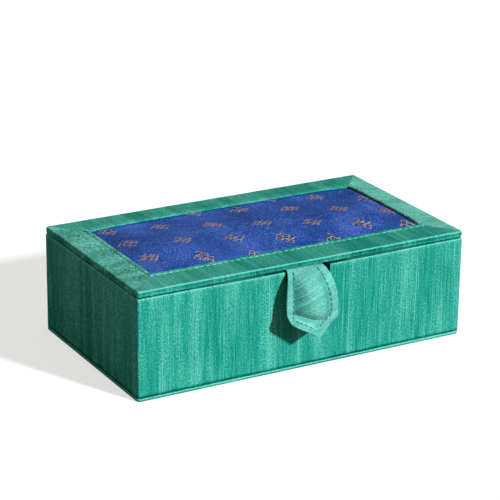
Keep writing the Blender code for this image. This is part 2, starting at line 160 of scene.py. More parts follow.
# Lining, velvet and board: size, detail, roughness and share of each noise, then strength and depth of relief
lining_across = 0.4 * mm
lining_along = 9 * mm
lining_cloud = ((22 * mm,) * 3, 2.0, 0.5, 0.25)
lining_relief = (0.35, 0.12 * mm)
velvet_noises = (((0.35 * mm,) * 3, 3.0, 0.7, 0.5), ((16 * mm, 9 * mm, 9 * mm), 3.0, 0.6, 0.5))
velvet_relief = (0.6, 0.25 * mm)
board_noises = (((3 * mm, 0.6 * mm, 0.6 * mm), 4.0, 0.7, 1.0),)
board_relief = (0.3, 0.1 * mm)

# Cloth and its clearances
cloth = 0.5 * mm
gap = 0.3 * mm
corner_steps = 6
fold_steps = 4
quarter = math.pi / 2
fold_angles = [quarter * step / fold_steps for step in range(1, fold_steps + 1)]
turn_in = 12 * mm
skin_wave = 0.07 * mm
skin_wave_size = 11 * mm
# Unevenness of the painted highlights along crests, and strength of the painted shade in the gap under the
# lid
crest_lump = 1.9 * mm
crest_lump_share = 0.6
lid_gap_shade_share = 0.85

# Skin of the walls and of the base
wall_corner = 1.1 * mm
wall_station = 1.6 * mm
wall_row = 1.7 * mm
wall_fade_low = 4 * mm
wall_fade_high = 3 * mm
slide_share = 0.6
rim_width = 4.6 * mm
rim_radius = 0.75 * mm
rim_inner_corner = 0.6 * mm
rim_shares = (0.35, 0.65, 1)
hem_shares = (0.4, 0.8, 1)
lift_shares = (0, 0.6, 1)
# Painted highlight on the rim's crest, painted shade on the rim under the lid and at the foot of the wall
crest_share = 1.3
crest_drop = 0.5 * rim_radius
crest_height = 0.7 * rim_radius
crest_depth = 1.2 * rim_radius
rim_shade_start = 1.5 * mm
rim_shade_fade = 2 * mm
foot_dark_share = 0.7
foot_dark_height = 0.7 * mm
notch_turn = 0.45 * mm
notch_draw_in = 0.6 * mm
bow_height = 0.45 * mm
bow_half = 108 * mm
bow_full_share = 1.4
base_edge = 0.8 * mm
base_corner = 3 * mm
# Painted shade on the lower rounding of the base's edge and by the foot of the walls, and a painted highlight
# on its upper rounding: one value a row, from the bottom up
base_painted_shading = (0.0, -0.1, -0.25, -0.25, -0.25, 0.35, 1.3, 0.2, -0.85) + (0.0,) * 6

# Border strips of the lid
lid_corner = 1.4 * mm
lid_edge = 1.15 * mm
lid_proud = 0.5 * mm
lid_side_proud = 0.7 * mm
lid_back_proud = 0.25 * mm
# Painted shade on the lid's side faces and on its turned-under cloth, weaker on the left strip
lid_face_dark = 0.5
side_face_share = 0.3
turned_under_share = 0.4
strip_turn_under = 12 * mm
strip_station = 1.2 * mm
strip_row = 1.1 * mm
strip_face_row = 0.8 * mm
strip_under_row = 3 * mm
strip_hidden_row = 4 * mm
strip_top_steps = 6
strip_fold_steps = 8
# Painted highlight along each strip's top edge
strip_crests = {"front": 2.0, "back": 1.0, "left": 0.8, "right": 1.2}
strip_seeds = {"front": 0, "back": 7, "left": 13, "right": 21}
strip_wave = 0.16 * mm
strip_wave_size = 17 * mm
strip_ripple_share = 0.35
strip_lift_rise = 2 * mm
strip_bow_fade = 2.5 * mm
fold_thickness = 0.85 * mm
fold_lifts = {"front": 0.0, "back": 1.3 * mm, "left": 0.25 * mm, "right": 1.3 * mm}
lift_reach = 16 * mm
lift_reach_inside = 9 * mm
# Painted shade on each strip's inner lip
lip_shades = {"front": 0.0, "back": 0.0, "left": 0.0, "right": -0.9}
lip_shade_width = 2.8 * mm
lip_puff = 0.4 * mm
leaf_swell = 0.112 * mm
leaf_swell_rise = 2 * mm
leaf_swell_end = 5 * mm
leaf_swell_fade = 6 * mm
seam_inset = 3.4 * mm
seam_groove = 0.34 * mm
seam_groove_width = 0.5 * mm
pucker = 0.07 * mm
pucker_width = 2.2 * mm
# Painted sheen on the front strip and painted shade on the left strip, by the corner where they meet
front_corner_light = 0.4
front_corner_reach = 18 * mm
left_corner_dark = 0.75
left_corner_reach = 16 * mm

# Brocade panel and the wadding under it
crown_height = 0.6 * mm
dome_height = 3.0 * mm
dome_crest_share = 0.4
dome_shoulder = 26 * mm
dome_edge_rise = 0.4 * mm
dome_edge_width = 3 * mm
panel_thickness = 0.4 * mm
panel_station = 1.15 * mm
panel_wave = 0.5 * mm
panel_wave_size = 27 * mm
panel_wave_run = Vector((0.86, 0.5))
panel_wave_squeeze = 0.45
panel_ruffle = 0.16 * mm
panel_ruffle_size = 10 * mm
panel_held = 1 * mm
panel_loose = 9 * mm
wadding_station = 4 * mm
wadding_clearance = 0.6 * mm

# Woven motifs: lozenges of three by three small rings, at their places on the stretched cloth in millimetres
motif_places = (
    (-84.7, 37.0), (-84.0, 9.4), (-83.9, -18.4), (-52.3, 27.9), (-52.9, -3.1),
    (-53.0, -31.9), (-21.2, 42.9), (-22.6, 13.6), (-22.6, -14.7), (-21.5, -42.8),
    (8.6, 34.6), (6.8, 1.6), (7.2, -27.2), (35.7, 44.6), (37.2, 18.6),
    (35.7, -11.8), (36.4, -39.9), (65.7, 34.0), (64.5, 2.1), (63.9, -26.7),
    (93.5, 16.5), (93.2, -11.7), (92.3, -38.6),
)
ring_steps = (-1, 0, 1)
ring_across = (2.6 * mm, -2.3 * mm)
ring_along = (1.85 * mm, 2.0 * mm)
ring_share = 0.84
ring_corners = ((-1, -1), (1, -1), (1, 1), (-1, 1))
ring_paths = ((0, 1, 2, 3, 0), (3, 0, 1, 2), (0, 3, 2, 1), (1, 0, 2, 3), (0, 1, 2, 3, 0))
ring_side_shares = (0.12, 0.5, 0.88)
ring_jitter = 0.5 * mm
ring_jitter_size = 1.3 * mm
ring_thread = 0.27 * mm
ring_rise_share = 0.3
weft_thread = 0.24 * mm
weft_rise_share = 0.05
weft_places = (-0.66, -0.22, 0.22, 0.66)
weft_shares = (-0.9, -0.3, 0.3, 0.9)
tail_start = 1.5
tail_shares = (-0.15, 0, 0.15, 0.3)
tail_rise_share = 0.2
motif_tuck = 1.2 * mm
motif_stretch = 0.4
motif_stretch_y = (-10 * mm, -30 * mm)

# Stitches
thread_sides = 6
thread_end_share = 0.35
stitch_steps = 6
seam_share = 0.01
stitch_pitch = 4.2 * mm
stitch_length = 2.9 * mm
stitch_radius = 0.3 * mm
stitch_rise = 0.21 * mm
tab_stitch_pitch = 3.4 * mm
tab_stitch_length = 2.75 * mm
tab_stitch_radius = 0.22 * mm
tab_stitch_rise = 0.24 * mm
tab_stitch_start = 1.2 * mm
tab_stitch_step = 0.25 * mm
seam_halvings = 24

# Outline and bow of the pull tab, as its solid has them
tab_centre = -1.1 * mm
tab_root_width = 26.2 * mm
tab_width = 36.8 * mm
tab_length = 45 * mm
tab_swell_length = 24 * mm
tab_corner_length = 33.8 * mm
tab_corner_softness = 1.3 * mm
tab_tip_width = 2.4 * mm
tab_slope = (tab_width - tab_tip_width) / 2 / (tab_length - tab_corner_length)
tab_root_z = 65 * mm
tab_root_y = -64.963 * mm
tab_bow_start = 27 * degree
tab_bow_end = 90 * degree
tab_bow_length = 10 * mm
tab_flap_angle = 39 * degree
tab_crease_length = 32 * mm
tab_crease_turn = 2.6 * mm
tab_crease_slope_share = 0.36
tab_leaf_turn = 1.2 * mm
tab_leaf_length = 13.5 * mm

# Thickness, padding and seam of the pull tab
tab_edge_half = 0.55 * mm
tab_under_half = 0.6 * mm
tab_leaf_half = 0.36 * mm
tab_leaf_fade = 2 * mm
tab_leaf_edge_share = 0.15
tab_thin = 0.12 * mm
tab_thin_under = 0.1 * mm
tab_pad_height = 4.2 * mm
tab_pad_rise = 18 * mm
tab_pad_edge = 1.5 * mm
tab_pinch = 9 * mm
tab_pinch_past = 0.5 * mm
tab_left_slope = 15 * mm
tab_right_slope = 7 * mm
tab_slope_start = 6 * mm
tab_slope_run = 20 * mm
tab_flap_height = 0.7 * mm
tab_flap_start = 1.2 * mm
tab_flap_rise = 2.5 * mm
tab_seam_insets = (
    (0, 3.9 * mm, 6.0 * mm), (10 * mm, 4.4 * mm, 5.9 * mm), (18 * mm, 5.2 * mm, 5.4 * mm),
    (25 * mm, 4.8 * mm, 5.2 * mm), (31 * mm, 4.2 * mm, 5.0 * mm), (36 * mm, 4.4 * mm, 4.4 * mm),
)
tab_groove = 0.35 * mm
tab_groove_width = 0.5 * mm
tab_wrinkle_height = 0.16 * mm
tab_wrinkle_size = 6 * mm
tab_pucker_height = 0.12 * mm
tab_pucker_size = 3 * mm
tab_wrinkle_reach = 4 * mm
tab_step = 0.55 * mm
tab_columns = 80
tab_column_share = 0.45
tab_line_step = 0.1 * mm
tab_steps_ahead = math.ceil((tab_length + tab_step) / tab_step)
tab_steps_behind = math.ceil(tab_leaf_length / tab_step)

# Painted light and painted shade on the pull tab
tab_crease_dark = 0.4
tab_shade_above = 1.3 * mm
tab_shade_width = 1.9 * mm
tab_shade_inside = 2 * mm
tab_nick_share = 0.6
tab_nick_width = 0.5 * mm
tab_flap_light = 0.3
tab_flap_light_rise = 1.5 * mm
tab_slope_dark = 0.45
tab_slope_width = 11 * mm
tab_slope_dark_start = 8 * mm
tab_slope_dark_run = 16 * mm
tab_slope_dark_past = 0.5 * mm
tab_slope_dark_fade = 1 * mm

# Cloth hinge
hinge_off_wall = 0.7 * mm
hinge_rows = (1.1 * mm, 0.3 * mm, 1.0 * mm)
hinge_column = 2.2 * mm
hinge_wave = 0.08 * mm
hinge_wave_size = 9 * mm
hinge_edge_share = 0.6
hinge_edge = 1.2 * mm
hinge_wave_edge = 3 * mm

# Lined inside
weld = 0.01 * mm
fold_angle = 30 * degree
panel_rounding = 0.45 * mm
broad_face = 20 * mm * mm
roll_count = 7
roll_station = 1.4 * mm
roll_draw = 1.1 * mm
roll_draw_reach = 1.6 * mm
roll_width_share = 0.985
roll_side_shares = (0.15, 0.4, 0.7)
roll_steps = 20
roll_wave = 0.15 * mm
roll_wave_size = 8 * mm
roll_wave_fade = 4 * mm
pad_station = 3 * mm
pad_puff = 0.1 * mm
pad_wave_size = 15 * mm


def clamp(share):
    return max(0, min(1, share))


def smooth(share):
    """Ease from 0 to 1."""
    share = clamp(share)
    return share * share * (3 - 2 * share)


def falling(distance, reach):
    return 1 - smooth(distance / reach)


def bell(distance, width):
    return math.exp(-(distance / width) ** 2)


def rounded(share):
    """Rise of a round shoulder from 0 to 1."""
    return math.sqrt(1 - (1 - clamp(share)) ** 2)


def mix(low, high, share):
    return low + (high - low) * share


def between(first, second, share):
    return tuple(mix(a, b, share) for a, b in zip(first, second))


def scaled(values, factor):
    return tuple(value * factor for value in values)


def lumps(x, y, z, size, seed=0):
    """Gentle noise from about -1 to 1 with lumps of one size."""
    return noise.noise(Vector((x / size + seed, y / size - seed, z / size)))


def spread(low, high, step):
    """Evenly spaced values from low to high, about one step apart."""
    count = max(1, round(abs(high - low) / step))
    return [mix(low, high, index / count) for index in range(count + 1)]


def spread_on(marks, steps):
    """Values through several marks, with a step of its own after each mark."""
    values = [marks[0]]
    for low, high, step in zip(marks, marks[1:], steps):
        values += spread(low, high, step)[1:]
    return values


def shrink(bounds, distance):
    x_low, x_high, y_low, y_high = bounds
    return x_low + distance, x_high - distance, y_low + distance, y_high - distance


def edge_gap(x, y, bounds):
    """Distance to the nearest side of a rectangle, from inside it."""
    x_low, x_high, y_low, y_high = bounds
    return min(x - x_low, x_high - x, y - y_low, y_high - y)


def plan_of(low, high):
    return low.x, high.x, low.y, high.y


def add_node(tree, kind, inputs=None, **settings):
    """New shader node, whose inputs are given as values or as sockets to link."""
    made = tree.nodes.new("ShaderNode" + kind)
    for key, value in settings.items():
        setattr(made, key, value)
    for key, value in (inputs or {}).items():
        if isinstance(value, bpy.types.NodeSocket):
            tree.links.new(value, made.inputs[key])
        else:
            made.inputs[key].default_value = value
    return made


def add_math(tree, operation, *values):
    return add_node(tree, "Math", dict(enumerate(values)), operation=operation).outputs[0]


def add_sum(tree, *values):
    return functools.reduce(lambda total, value: add_math(tree, "ADD", total, value), values)


def add_noise(tree, place, sizes, detail=2.0, roughness=0.5):
    """Noise whose lumps have the given size along each axis."""
    scale = tuple(1 / size for size in sizes)
    mapped = add_node(tree, "Mapping", {"Vector": place, "Scale": scale}).outputs[0]
    inputs = {"Vector": mapped, "Scale": 1.0, "Detail": detail, "Roughness": roughness}
    return add_node(tree, "TexNoise", inputs).outputs["Fac"]


def add_woven(tree, place, run, size, detail=1.0, roughness=0.5):
    """Noise drawn out along the yarns, with its size across them and along them."""
    return add_noise(tree, place, [size[axis] for axis in run], detail, roughness)


def add_wave(tree, place, pitch, direction, distortion, detail=2.0):
    """Waves a pitch apart, for a texture that turns by wave_factor radians over a length of 1."""
    scale = 2 * math.pi / pitch / wave_factor
    inputs = {"Vector": place, "Scale": scale, "Distortion": distortion, "Detail": detail}
    return add_node(tree, "TexWave", inputs, bands_direction=direction).outputs["Fac"]


def add_range(tree, value, low, high, to_low=0.0, to_high=1.0):
    inputs = {"Value": value, "From Min": low, "From Max": high, "To Min": to_low, "To Max": to_high}
    return add_node(tree, "MapRange", inputs).outputs[0]


def add_ramp(tree, value, stops):
    ramp = add_node(tree, "ValToRGB", {"Fac": value})
    elements = ramp.color_ramp.elements
    while len(elements) < len(stops):
        elements.new(0.5)
    for element, (position, colour) in zip(elements, stops):
        element.position = position
        element.color = (*colour, 1)
    return ramp.outputs["Color"]


def add_mix(tree, share, first, second):
    """Blend a colour socket towards a colour."""
    return add_node(tree, "Mix", {0: share, 6: first, 7: (*second, 1)}, data_type="RGBA").outputs[2]


def add_bump(tree, shader, height, strength, distance):
    bump = add_node(tree, "Bump", {"Height": height, "Strength": strength, "Distance": distance})
    tree.links.new(bump.outputs["Normal"], shader.inputs["Normal"])


def shades(colour, stops):
    """Ramp stops of one colour, each with a factor and an added light."""
    return [
        (place, tuple(min(1, part * factor + light) for part in colour))
        for place, factor, light in stops
    ]


def new_material(name, **constants):
    """Material with its shader's even values set on the shader itself, and the place on its surface."""
    material = bpy.data.materials.new(name)
    material.use_nodes = True
    tree = material.node_tree
    shader = tree.nodes["Principled BSDF"]
    for key, value in constants.items():
        shader.inputs[key.replace("_", " ").title().replace("Ior", "IOR")].default_value = value
    return material, tree, shader, add_node(tree, "TexCoord").outputs["Object"]


def set_gloss_direction(tree, shader, along=None, thread=None):
    """Stretch the gloss along a direction of the piece, or across the direction of its threads."""
    direction = add_node(tree, "CombineXYZ", dict(zip("XYZ", along or thread))).outputs[0]
    turned = add_node(
        tree, "VectorTransform", {"Vector": direction},
        vector_type="VECTOR", convert_from="OBJECT", convert_to="WORLD",
    ).outputs[0]
    if thread:
        normal = add_node(tree, "NewGeometry").outputs["Normal"]
        turned = add_node(tree, "VectorMath", {0: normal, 1: turned}, operation="CROSS_PRODUCT").outputs[0]
    tree.links.new(turned, shader.inputs["Tangent"])


def silk(name, colour, run, flat_map=None, along=None, thread=None, slubs=1.0, turn=0.0, shine=0.1,
         gloss=0.45, rib=0.0, streak=1.0, contrast=1.0, relief=0.5, coarse=1.0):
    """Raw silk: uneven yarns that run along some axes, sparse slubs and flecks, and the painted highlights
    and painted shade that each piece carries.
    """
    material, tree, shader, place = new_material(
        name, roughness=0.6, metallic=shine, specular_ior_level=gloss, anisotropic=0.92,
    )
    if flat_map:
        place = add_node(tree, "UVMap", uv_map=flat_map).outputs["UV"]
        place = add_node(tree, "Mapping", {"Vector": place, "Rotation": (0, 0, turn)}).outputs[0]
    yarn = add_woven(tree, place, run, (yarn_size[0], yarn_size[1] * streak), 3.0, 0.65)
    slub = add_woven(tree, place, run, (slub_size[0], slub_size[1] * streak))
    fleck = add_woven(tree, place, run, scaled(fleck_size, coarse), 2.0, 0.7)
    band = add_woven(tree, place, run, band_size)
    slub_mask = add_range(tree, slub, *slub_tone, slub_light * slubs)
    density = add_range(tree, band, *band_sparks)
    sparks = add_math(tree, "MULTIPLY", add_range(tree, fleck, *spark_tone), density)
    tone = add_sum(
        tree, add_range(tree, yarn, *yarn_tone), add_range(tree, fleck, *fleck_tone),
        add_range(tree, band, *band_tone), slub_mask, sparks,
    )
    uneven = add_math(tree, "SUBTRACT", tone, even_tone)
    tone = add_math(tree, "MULTIPLY_ADD", uneven, contrast, even_tone)
    if rib:
        ribs = add_wave(tree, place, rib_pitch, "Y", 1.5)
        tone = add_math(tree, "ADD", tone, add_range(tree, ribs, 0.0, 1.0, -rib, rib))
    # Painted highlights and painted shade, given per point by each piece and broken up by the flecks
    rub = add_node(tree, "Attribute", attribute_name="rub").outputs["Fac"]
    painted_tone = add_math(tree, "MULTIPLY", rub, add_range(tree, fleck, *painted_shading_tone))
    tone = add_math(tree, "ADD", tone, painted_tone)
    top = tuple(min(1, part * silk_top_factor + light) for part, light in zip(colour, silk_top_light))
    stops = shades(colour, silk_stops) + [(1.0, top)]
    tree.links.new(add_ramp(tree, tone, stops), shader.inputs["Base Color"])

    weave = add_sum(tree, *(add_wave(tree, place, weave_pitch, axis, 1.2, 1.0) for axis in "XYZ"))
    parts = ((weave, weave_relief), (yarn, yarn_relief), (slub_mask, slub_relief), (fleck, fleck_relief))
    height = add_sum(tree, *(add_math(tree, "MULTIPLY", part, share) for part, share in parts))
    add_bump(tree, shader, height, relief, silk_depth)
    set_gloss_direction(tree, shader, along, thread)
    return material


def brocade(name, colour):
    """Satin-faced brocade ground with a speckled weave and soft changes of shade."""
    material, tree, shader, place = new_material(
        name, roughness=0.55, metallic=0.0, specular_ior_level=0.2, anisotropic=0.6,
    )
    grain = add_noise(tree, place, grain_size, 2.0, 0.8)
    glint = add_noise(tree, place, glint_size, 0.0)
    shade = add_noise(tree, place, shade_size)
    tint = add_noise(tree, place, tint_size, 1.0)
    tone = add_sum(
        tree, add_range(tree, grain, *grain_tone), add_range(tree, shade, *shade_tone),
        add_range(tree, glint, *glint_tone),
    )
    ground = add_ramp(tree, tone, shades(colour, brocade_stops))
    violet = tuple(part * factor for part, factor in zip(colour, tint_factors))
    mixed = add_mix(tree, add_range(tree, tint, *tint_tone), ground, violet)
    tree.links.new(mixed, shader.inputs["Base Color"])
    twill = add_wave(tree, place, weave_pitch, "DIAGONAL", 0.8)
    height = add_math(tree, "MULTIPLY_ADD", twill, 0.3, grain)
    add_bump(tree, shader, height, 0.45, brocade_depth)
    set_gloss_direction(tree, shader, along=(1, 0, 0))
    return material


def thread(name, colour, roughness=0.45, second=None, far=None, gloss=0.3):
    """Twisted sewing or weaving thread, with a second colour here and there and another further back."""
    material, tree, shader, place = new_material(name, roughness=roughness, specular_ior_level=gloss)
    twist = add_noise(tree, place, twist_size, 2.0, 0.7)
    shade = add_ramp(tree, twist, shades(colour, thread_stops))
    # Painted sheen: lighter towards the front, turning to the far colour further back
    if far:
        depth = add_node(tree, "SeparateXYZ", {0: place}).outputs["Y"]
        shade = add_mix(tree, add_range(tree, depth, *motif_stretch_y[::-1]), shade, far)
    if second:
        patches = add_noise(tree, place, patch_size, 1.0)
        shade = add_mix(tree, add_range(tree, patches, *patch_tone), shade, second)
    tree.links.new(shade, shader.inputs["Base Color"])
    add_bump(tree, shader, twist, 0.4, twist_depth)
    return material


def plain_finish(name, colour, noises, stops, relief, **constants):
    """Even cloth or board, whose tone is a sum of noises and whose relief is the first of them."""
    material, tree, shader, place = new_material(name, **constants)
    made = [add_noise(tree, place, sizes, detail, roughness) for sizes, detail, roughness, _ in noises]
    parts = [add_math(tree, "MULTIPLY", value, share) for value, (*_, share) in zip(made, noises)]
    ramp = add_ramp(tree, add_sum(tree, *parts), shades(colour, stops))
    tree.links.new(ramp, shader.inputs["Base Color"])
    add_bump(tree, shader, made[0], *relief)
    return material


def lining_cloth(name, run):
    """Plain lining cloth with a fine rib."""
    rib = ([lining_along if axis else lining_across for axis in run], 3.0, 0.6, 0.75)
    return plain_finish(
        name, lining_gold, (rib, lining_cloud), lining_stops, lining_relief,
        roughness=0.6, specular_ior_level=0.4, sheen_weight=0.12,
    )


def velvet(name, colour):
    """Short pile, matt and soft at its edges, with brushed patches."""
    return plain_finish(
        name, colour, velvet_noises, velvet_stops, velvet_relief,
        roughness=0.95, specular_ior_level=0.1, sheen_weight=0.6, sheen_roughness=0.35,
    )


strip_looks = {
    "front": dict(run=(0, 1, 1), along=(1, 0, 0), slubs=0.8, gloss=0.2, contrast=1.3, relief=0.9),
    "back": dict(run=(0, 1, 1), along=(1, 0, 0), slubs=0.3, gloss=0.24, contrast=1.2, relief=0.7),
    "left": dict(
        run=(1, 0, 1), along=(0, 1, 0), slubs=0.0, gloss=0.5,
        streak=0.12, contrast=2.1, relief=1.1, coarse=1.7,
    ),
    "right": dict(
        run=(1, 0, 1), along=(0, 1, 0), slubs=0.4, shine=0.24, gloss=1,
        streak=0.3, contrast=1.4, relief=0.8, coarse=1.4,
    ),
}
strip_silk = {side: silk(f"{side}_strip_silk", green, **look) for side, look in strip_looks.items()}
wall_silk = silk("wall_silk", green, (0, 0, 1), thread=(0, 0, 1), contrast=1.25, coarse=1.25)
base_silk = silk("base_silk", green, (1, 0, 0), along=(1, 0.3, 0), gloss=0.3)
hinge_silk = silk("hinge_silk", green, (1, 0, 0), along=(0, 0, 1))
tab_silk = silk(
    "tab_silk", green_with_painted_sheen, (1, 0, 0), flat_map="flat", thread=(1, 0, 0),
    slubs=0.1, turn=19 * degree, shine=0.18, gloss=0.75, rib=0.14, contrast=1.3,
)
blue_brocade = brocade("blue_brocade", royal_blue)
motif_ground = thread("motif_ground", bronze, 0.6)
# Cream in front as painted sheen, mauve further back
motif_thread = thread("motif_thread", cream_thread, second=copper_thread, far=mauve_thread, gloss=0.1)
stitch_thread = thread("stitch_thread", light_thread)
tab_thread = thread("tab_thread", dark_thread, 0.8, gloss=0.05)
panel_lining = lining_cloth("panel_lining", (0, 0, 1))
divider_lining = lining_cloth("divider_lining", (0, 0, 1))
lid_lining_cloth = lining_cloth("lid_lining_cloth", (1, 0, 0))
cream_velvet = velvet("cream_velvet", velvet_cream)
wadding = velvet("wadding", wadding_white)
grey_board = plain_finish(
    "grey_board", board_grey, board_noises, board_stops, board_relief, roughness=0.9, specular_ior_level=0.2,
)


def add_object(name, data):
    made = bpy.data.objects.new(name, data)
    bpy.context.scene.collection.objects.link(made)
    return made


def new_mesh(name, points, faces):
    data = bpy.data.meshes.new(name)
    data.from_pydata(points, [], faces)
    return data


def finish_piece(name, data, material, rub=None):
    """Make the object, with the painted highlight or painted shade of its cloth at each point."""
    if rub:
        data.attributes.new("rub", "FLOAT", "POINT").data.foreach_set("value", rub)
    data.validate()
    data.shade_smooth()
    data.materials.append(material)
    shape = bmesh.new()
    shape.from_mesh(data)
    bmesh.ops.recalc_face_normals(shape, faces=shape.faces)
    shape.to_mesh(data)
    shape.free()
    piece = add_object(name, data)
    return piece


def place_piece(piece, body, *nodes):
    """Put a piece on its body, in place of the solids that it stands for."""
    if nodes:
        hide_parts(*nodes)
    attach(piece, body)


def tube_piece(name, rows, material, kind="tube", rub=None, flat=None):
    """Closed mesh through closed rows of points.

    A ring runs on into its first row. A tube is capped by one face at each end, and a sheet by faces
    between its two sides.
    """
    height = len(rows)
    width = len(rows[0])
    faces = []
    for row in range(height if kind == "ring" else height - 1):
        below = (row + 1) % height
        for column in range(width):
            after = (column + 1) % width
            corners = ((row, column), (row, after), (below, after), (below, column))
            faces.append(tuple(across * width + along for across, along in corners))
    for first in (0, (height - 1) * width):
        last = first + width - 1
        if kind == "tube":
            faces.append(tuple(range(first, last + 1)))
        if kind == "sheet":
            for step in range(width // 2 - 1):
                faces.append((first + step, first + step + 1, last - step - 1, last - step))
    data = new_mesh(name, [point for row in rows for point in row], faces)
    if flat:
        layer = data.uv_layers.new(name="flat")
        for spot, loop in zip(layer.data, data.loops):
            spot.uv = flat[loop.vertex_index]
    return finish_piece(name, data, material, rub)


def sheet_piece(name, top, bottom, material):
    """Closed body between two equal grids of points."""
    rows = [upper + lower[::-1] for upper, lower in zip(top, bottom)]
    return tube_piece(name, rows, material, "sheet")


def grid(xs, ys, height):
    return [[Vector((x, y, height(x, y))) for x in xs] for y in ys]


def threads_piece(name, courses, radius, material, flatness):
    """One mesh of short threads. Each course is a list of points with the way up at each."""
    points = []
    faces = []
    around = range(thread_sides)
    for course in courses:
        first = len(points)
        last = len(course) - 1
        for index, (point, up) in enumerate(course):
            before = course[max(0, index - 1)][0]
            after = course[min(last, index + 1)][0]
            side = (after - before).cross(up).normalized()
            size = radius * (thread_end_share if index in (0, last) else 1)
            for step in around:
                angle = 2 * math.pi * step / thread_sides
                points.append(point + (side * math.cos(angle) + up * math.sin(angle) * flatness) * size)
        for index in range(last):
            low = first + index * thread_sides
            high = low + thread_sides
            for step in around:
                after = (step + 1) % thread_sides
                faces.append((low + step, low + after, high + after, high + step))
        for end in (first, first + last * thread_sides):
            faces.append(tuple(end + step for step in around))
    return finish_piece(name, new_mesh(name, points, faces), material)


def walk(line, pitch, length, start=0.0):
    """Cut a line of points with their ways up into stitches: pieces of the line, a pitch apart."""
    reached = [0.0]
    for (before, _), (after, _) in zip(line, line[1:]):
        reached.append(reached[-1] + (after - before).length)

    def at(distance):
        for index in range(len(line) - 1):
            if reached[index + 1] >= distance:
                share = (distance - reached[index]) / (reached[index + 1] - reached[index] or 1)
                point = line[index][0].lerp(line[index + 1][0], share)
                return point, line[index][1].lerp(line[index + 1][1], share).normalized()
        return line[-1]

    stitches = []
    while start + length <= reached[-1]:
        stitches.append([at(start + length * step / stitch_steps) for step in range(stitch_steps + 1)])
        start += pitch
    return stitches


def sunk(course, rise, dip):
    """Lay a stitch on its cloth: a low arch whose ends go into the cloth."""
    last = len(course) - 1
    return [
        (point + up * mix(-dip, rise, smooth(4 * min(index, last - index) / last)), up)
        for index, (point, up) in enumerate(course)
    ]


def build_camera():
    back = Vector((
        math.sin(camera_azimuth) * math.cos(camera_elevation),
        -math.cos(camera_azimuth) * math.cos(camera_elevation),
        math.sin(camera_elevation),
    ))
    level_right = Vector((0, 0, 1)).cross(back).normalized()
    level_up = back.cross(level_right)
    right = level_right * math.cos(camera_roll) + level_up * math.sin(camera_roll)
    up = level_up * math.cos(camera_roll) - level_right * math.sin(camera_roll)
    place = Vector((0, 0, aim_height)) + right * aim_right + up * aim_up + back * camera_distance
    data = bpy.data.cameras.new("camera")
    data.lens = camera_lens
    data.sensor_width = camera_sensor
    camera = add_object("camera", data)
    camera.matrix_world = Matrix.Translation(place) @ Matrix((right, up, back)).transposed().to_4x4()
    bpy.context.scene.camera = camera


def add_sun(name, travel, strength, angle):
    data = bpy.data.lights.new(name, "SUN")
    data.energy = strength
    data.angle = angle
    lamp = add_object(name, data)
    lamp.rotation_euler = Vector(travel).to_track_quat("-Z", "Y").to_euler()
    return lamp


def build_stage():
    """White world and pale floor for the camera, with a plain soft light on the box."""
    world = bpy.data.worlds.new("studio")
    world.use_nodes = True
    bpy.context.scene.world = world
    tree = world.node_tree
    background = tree.nodes["Background"]
    rays = add_node(tree, "LightPath")
    seen = add_math(tree, "MAXIMUM", rays.outputs["Is Camera Ray"], rays.outputs["Is Transmission Ray"])
    tree.links.new(add_ramp(tree, seen, ((0, sky_tint), (1, (1, 1, 1)))), background.inputs["Color"])
    tree.links.new(add_range(tree, seen, 0.0, 1.0, sky_strength, 1.0), background.inputs["Strength"])
    add_sun("key_light", key_travel, key_strength, key_angle)
    add_sun("back_light", back_travel, back_strength, back_angle).visible_glossy = False

    corners = [(x * floor_half, y * floor_half, -floor_drop) for x, y in ring_corners]
    floor = add_object("floor", new_mesh("floor", corners, [(0, 1, 2, 3)]))
    material = bpy.data.materials.new("floor_paper")
    material.use_nodes = True
    tree = material.node_tree
    tree.nodes.remove(tree.nodes["Principled BSDF"])
    rays = add_node(tree, "LightPath").outputs["Is Camera Ray"]
    tone = add_range(tree, rays, 0.0, 1.0, floor_tone, floor_seen_tone)
    colour = add_node(tree, "CombineXYZ", dict.fromkeys("XYZ", tone)).outputs[0]
    paper = add_node(tree, "BsdfDiffuse", {"Color": colour})
    glow = add_node(tree, "Emission", {"Strength": add_math(tree, "MULTIPLY", rays, floor_glow)})
    both = add_node(tree, "AddShader", {0: paper.outputs[0], 1: glow.outputs[0]})
    tree.links.new(both.outputs[0], tree.nodes["Material Output"].inputs["Surface"])
    floor.data.materials.append(material)
    bpy.context.scene.view_settings.view_transform = "Standard"


# Places read from the frame. A plan is the low and high x and then the low and high y of a rectangle.
sides = ("front", "back", "left", "right")
wall_low, wall_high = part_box("wall_cloth")
wall_plan = plan_of(wall_low, wall_high)
openings = {opening["name"]: opening["box_m"] for opening in frame["record"]["physics"]["openings"]}
notch_low_x = openings["tab_notch"][0][0] - gap + notch_draw_in
notch_high_x = openings["tab_notch"][1][0] + gap
notch_floor = openings["tab_notch"][0][2] - gap
strip_boxes = {side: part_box(f"border_{side}") for side in sides}
lid_plan = (
    strip_boxes["left"][0].x - lid_side_proud, strip_boxes["right"][1].x + lid_side_proud,
    strip_boxes["front"][0].y - lid_proud, strip_boxes["back"][1].y + lid_back_proud,
)
lid_width = lid_plan[1] - lid_plan[0]
lid_depth = lid_plan[3] - lid_plan[2]
lid_low_z = strip_boxes["front"][0].z
lid_high_z = strip_boxes["front"][1].z
window = (
    strip_boxes["left"][1].x, strip_boxes["right"][0].x,
    strip_boxes["front"][1].y, strip_boxes["back"][0].y,
)
panel_low_corner, panel_high_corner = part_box("brocade_panel")
panel_plan = plan_of(panel_low_corner, panel_high_corner)
panel_rim_z = panel_high_corner.z - crown_height


def on_circle(x, y, radius, angle):
    return x + radius * math.cos(angle), y + radius * math.sin(angle)


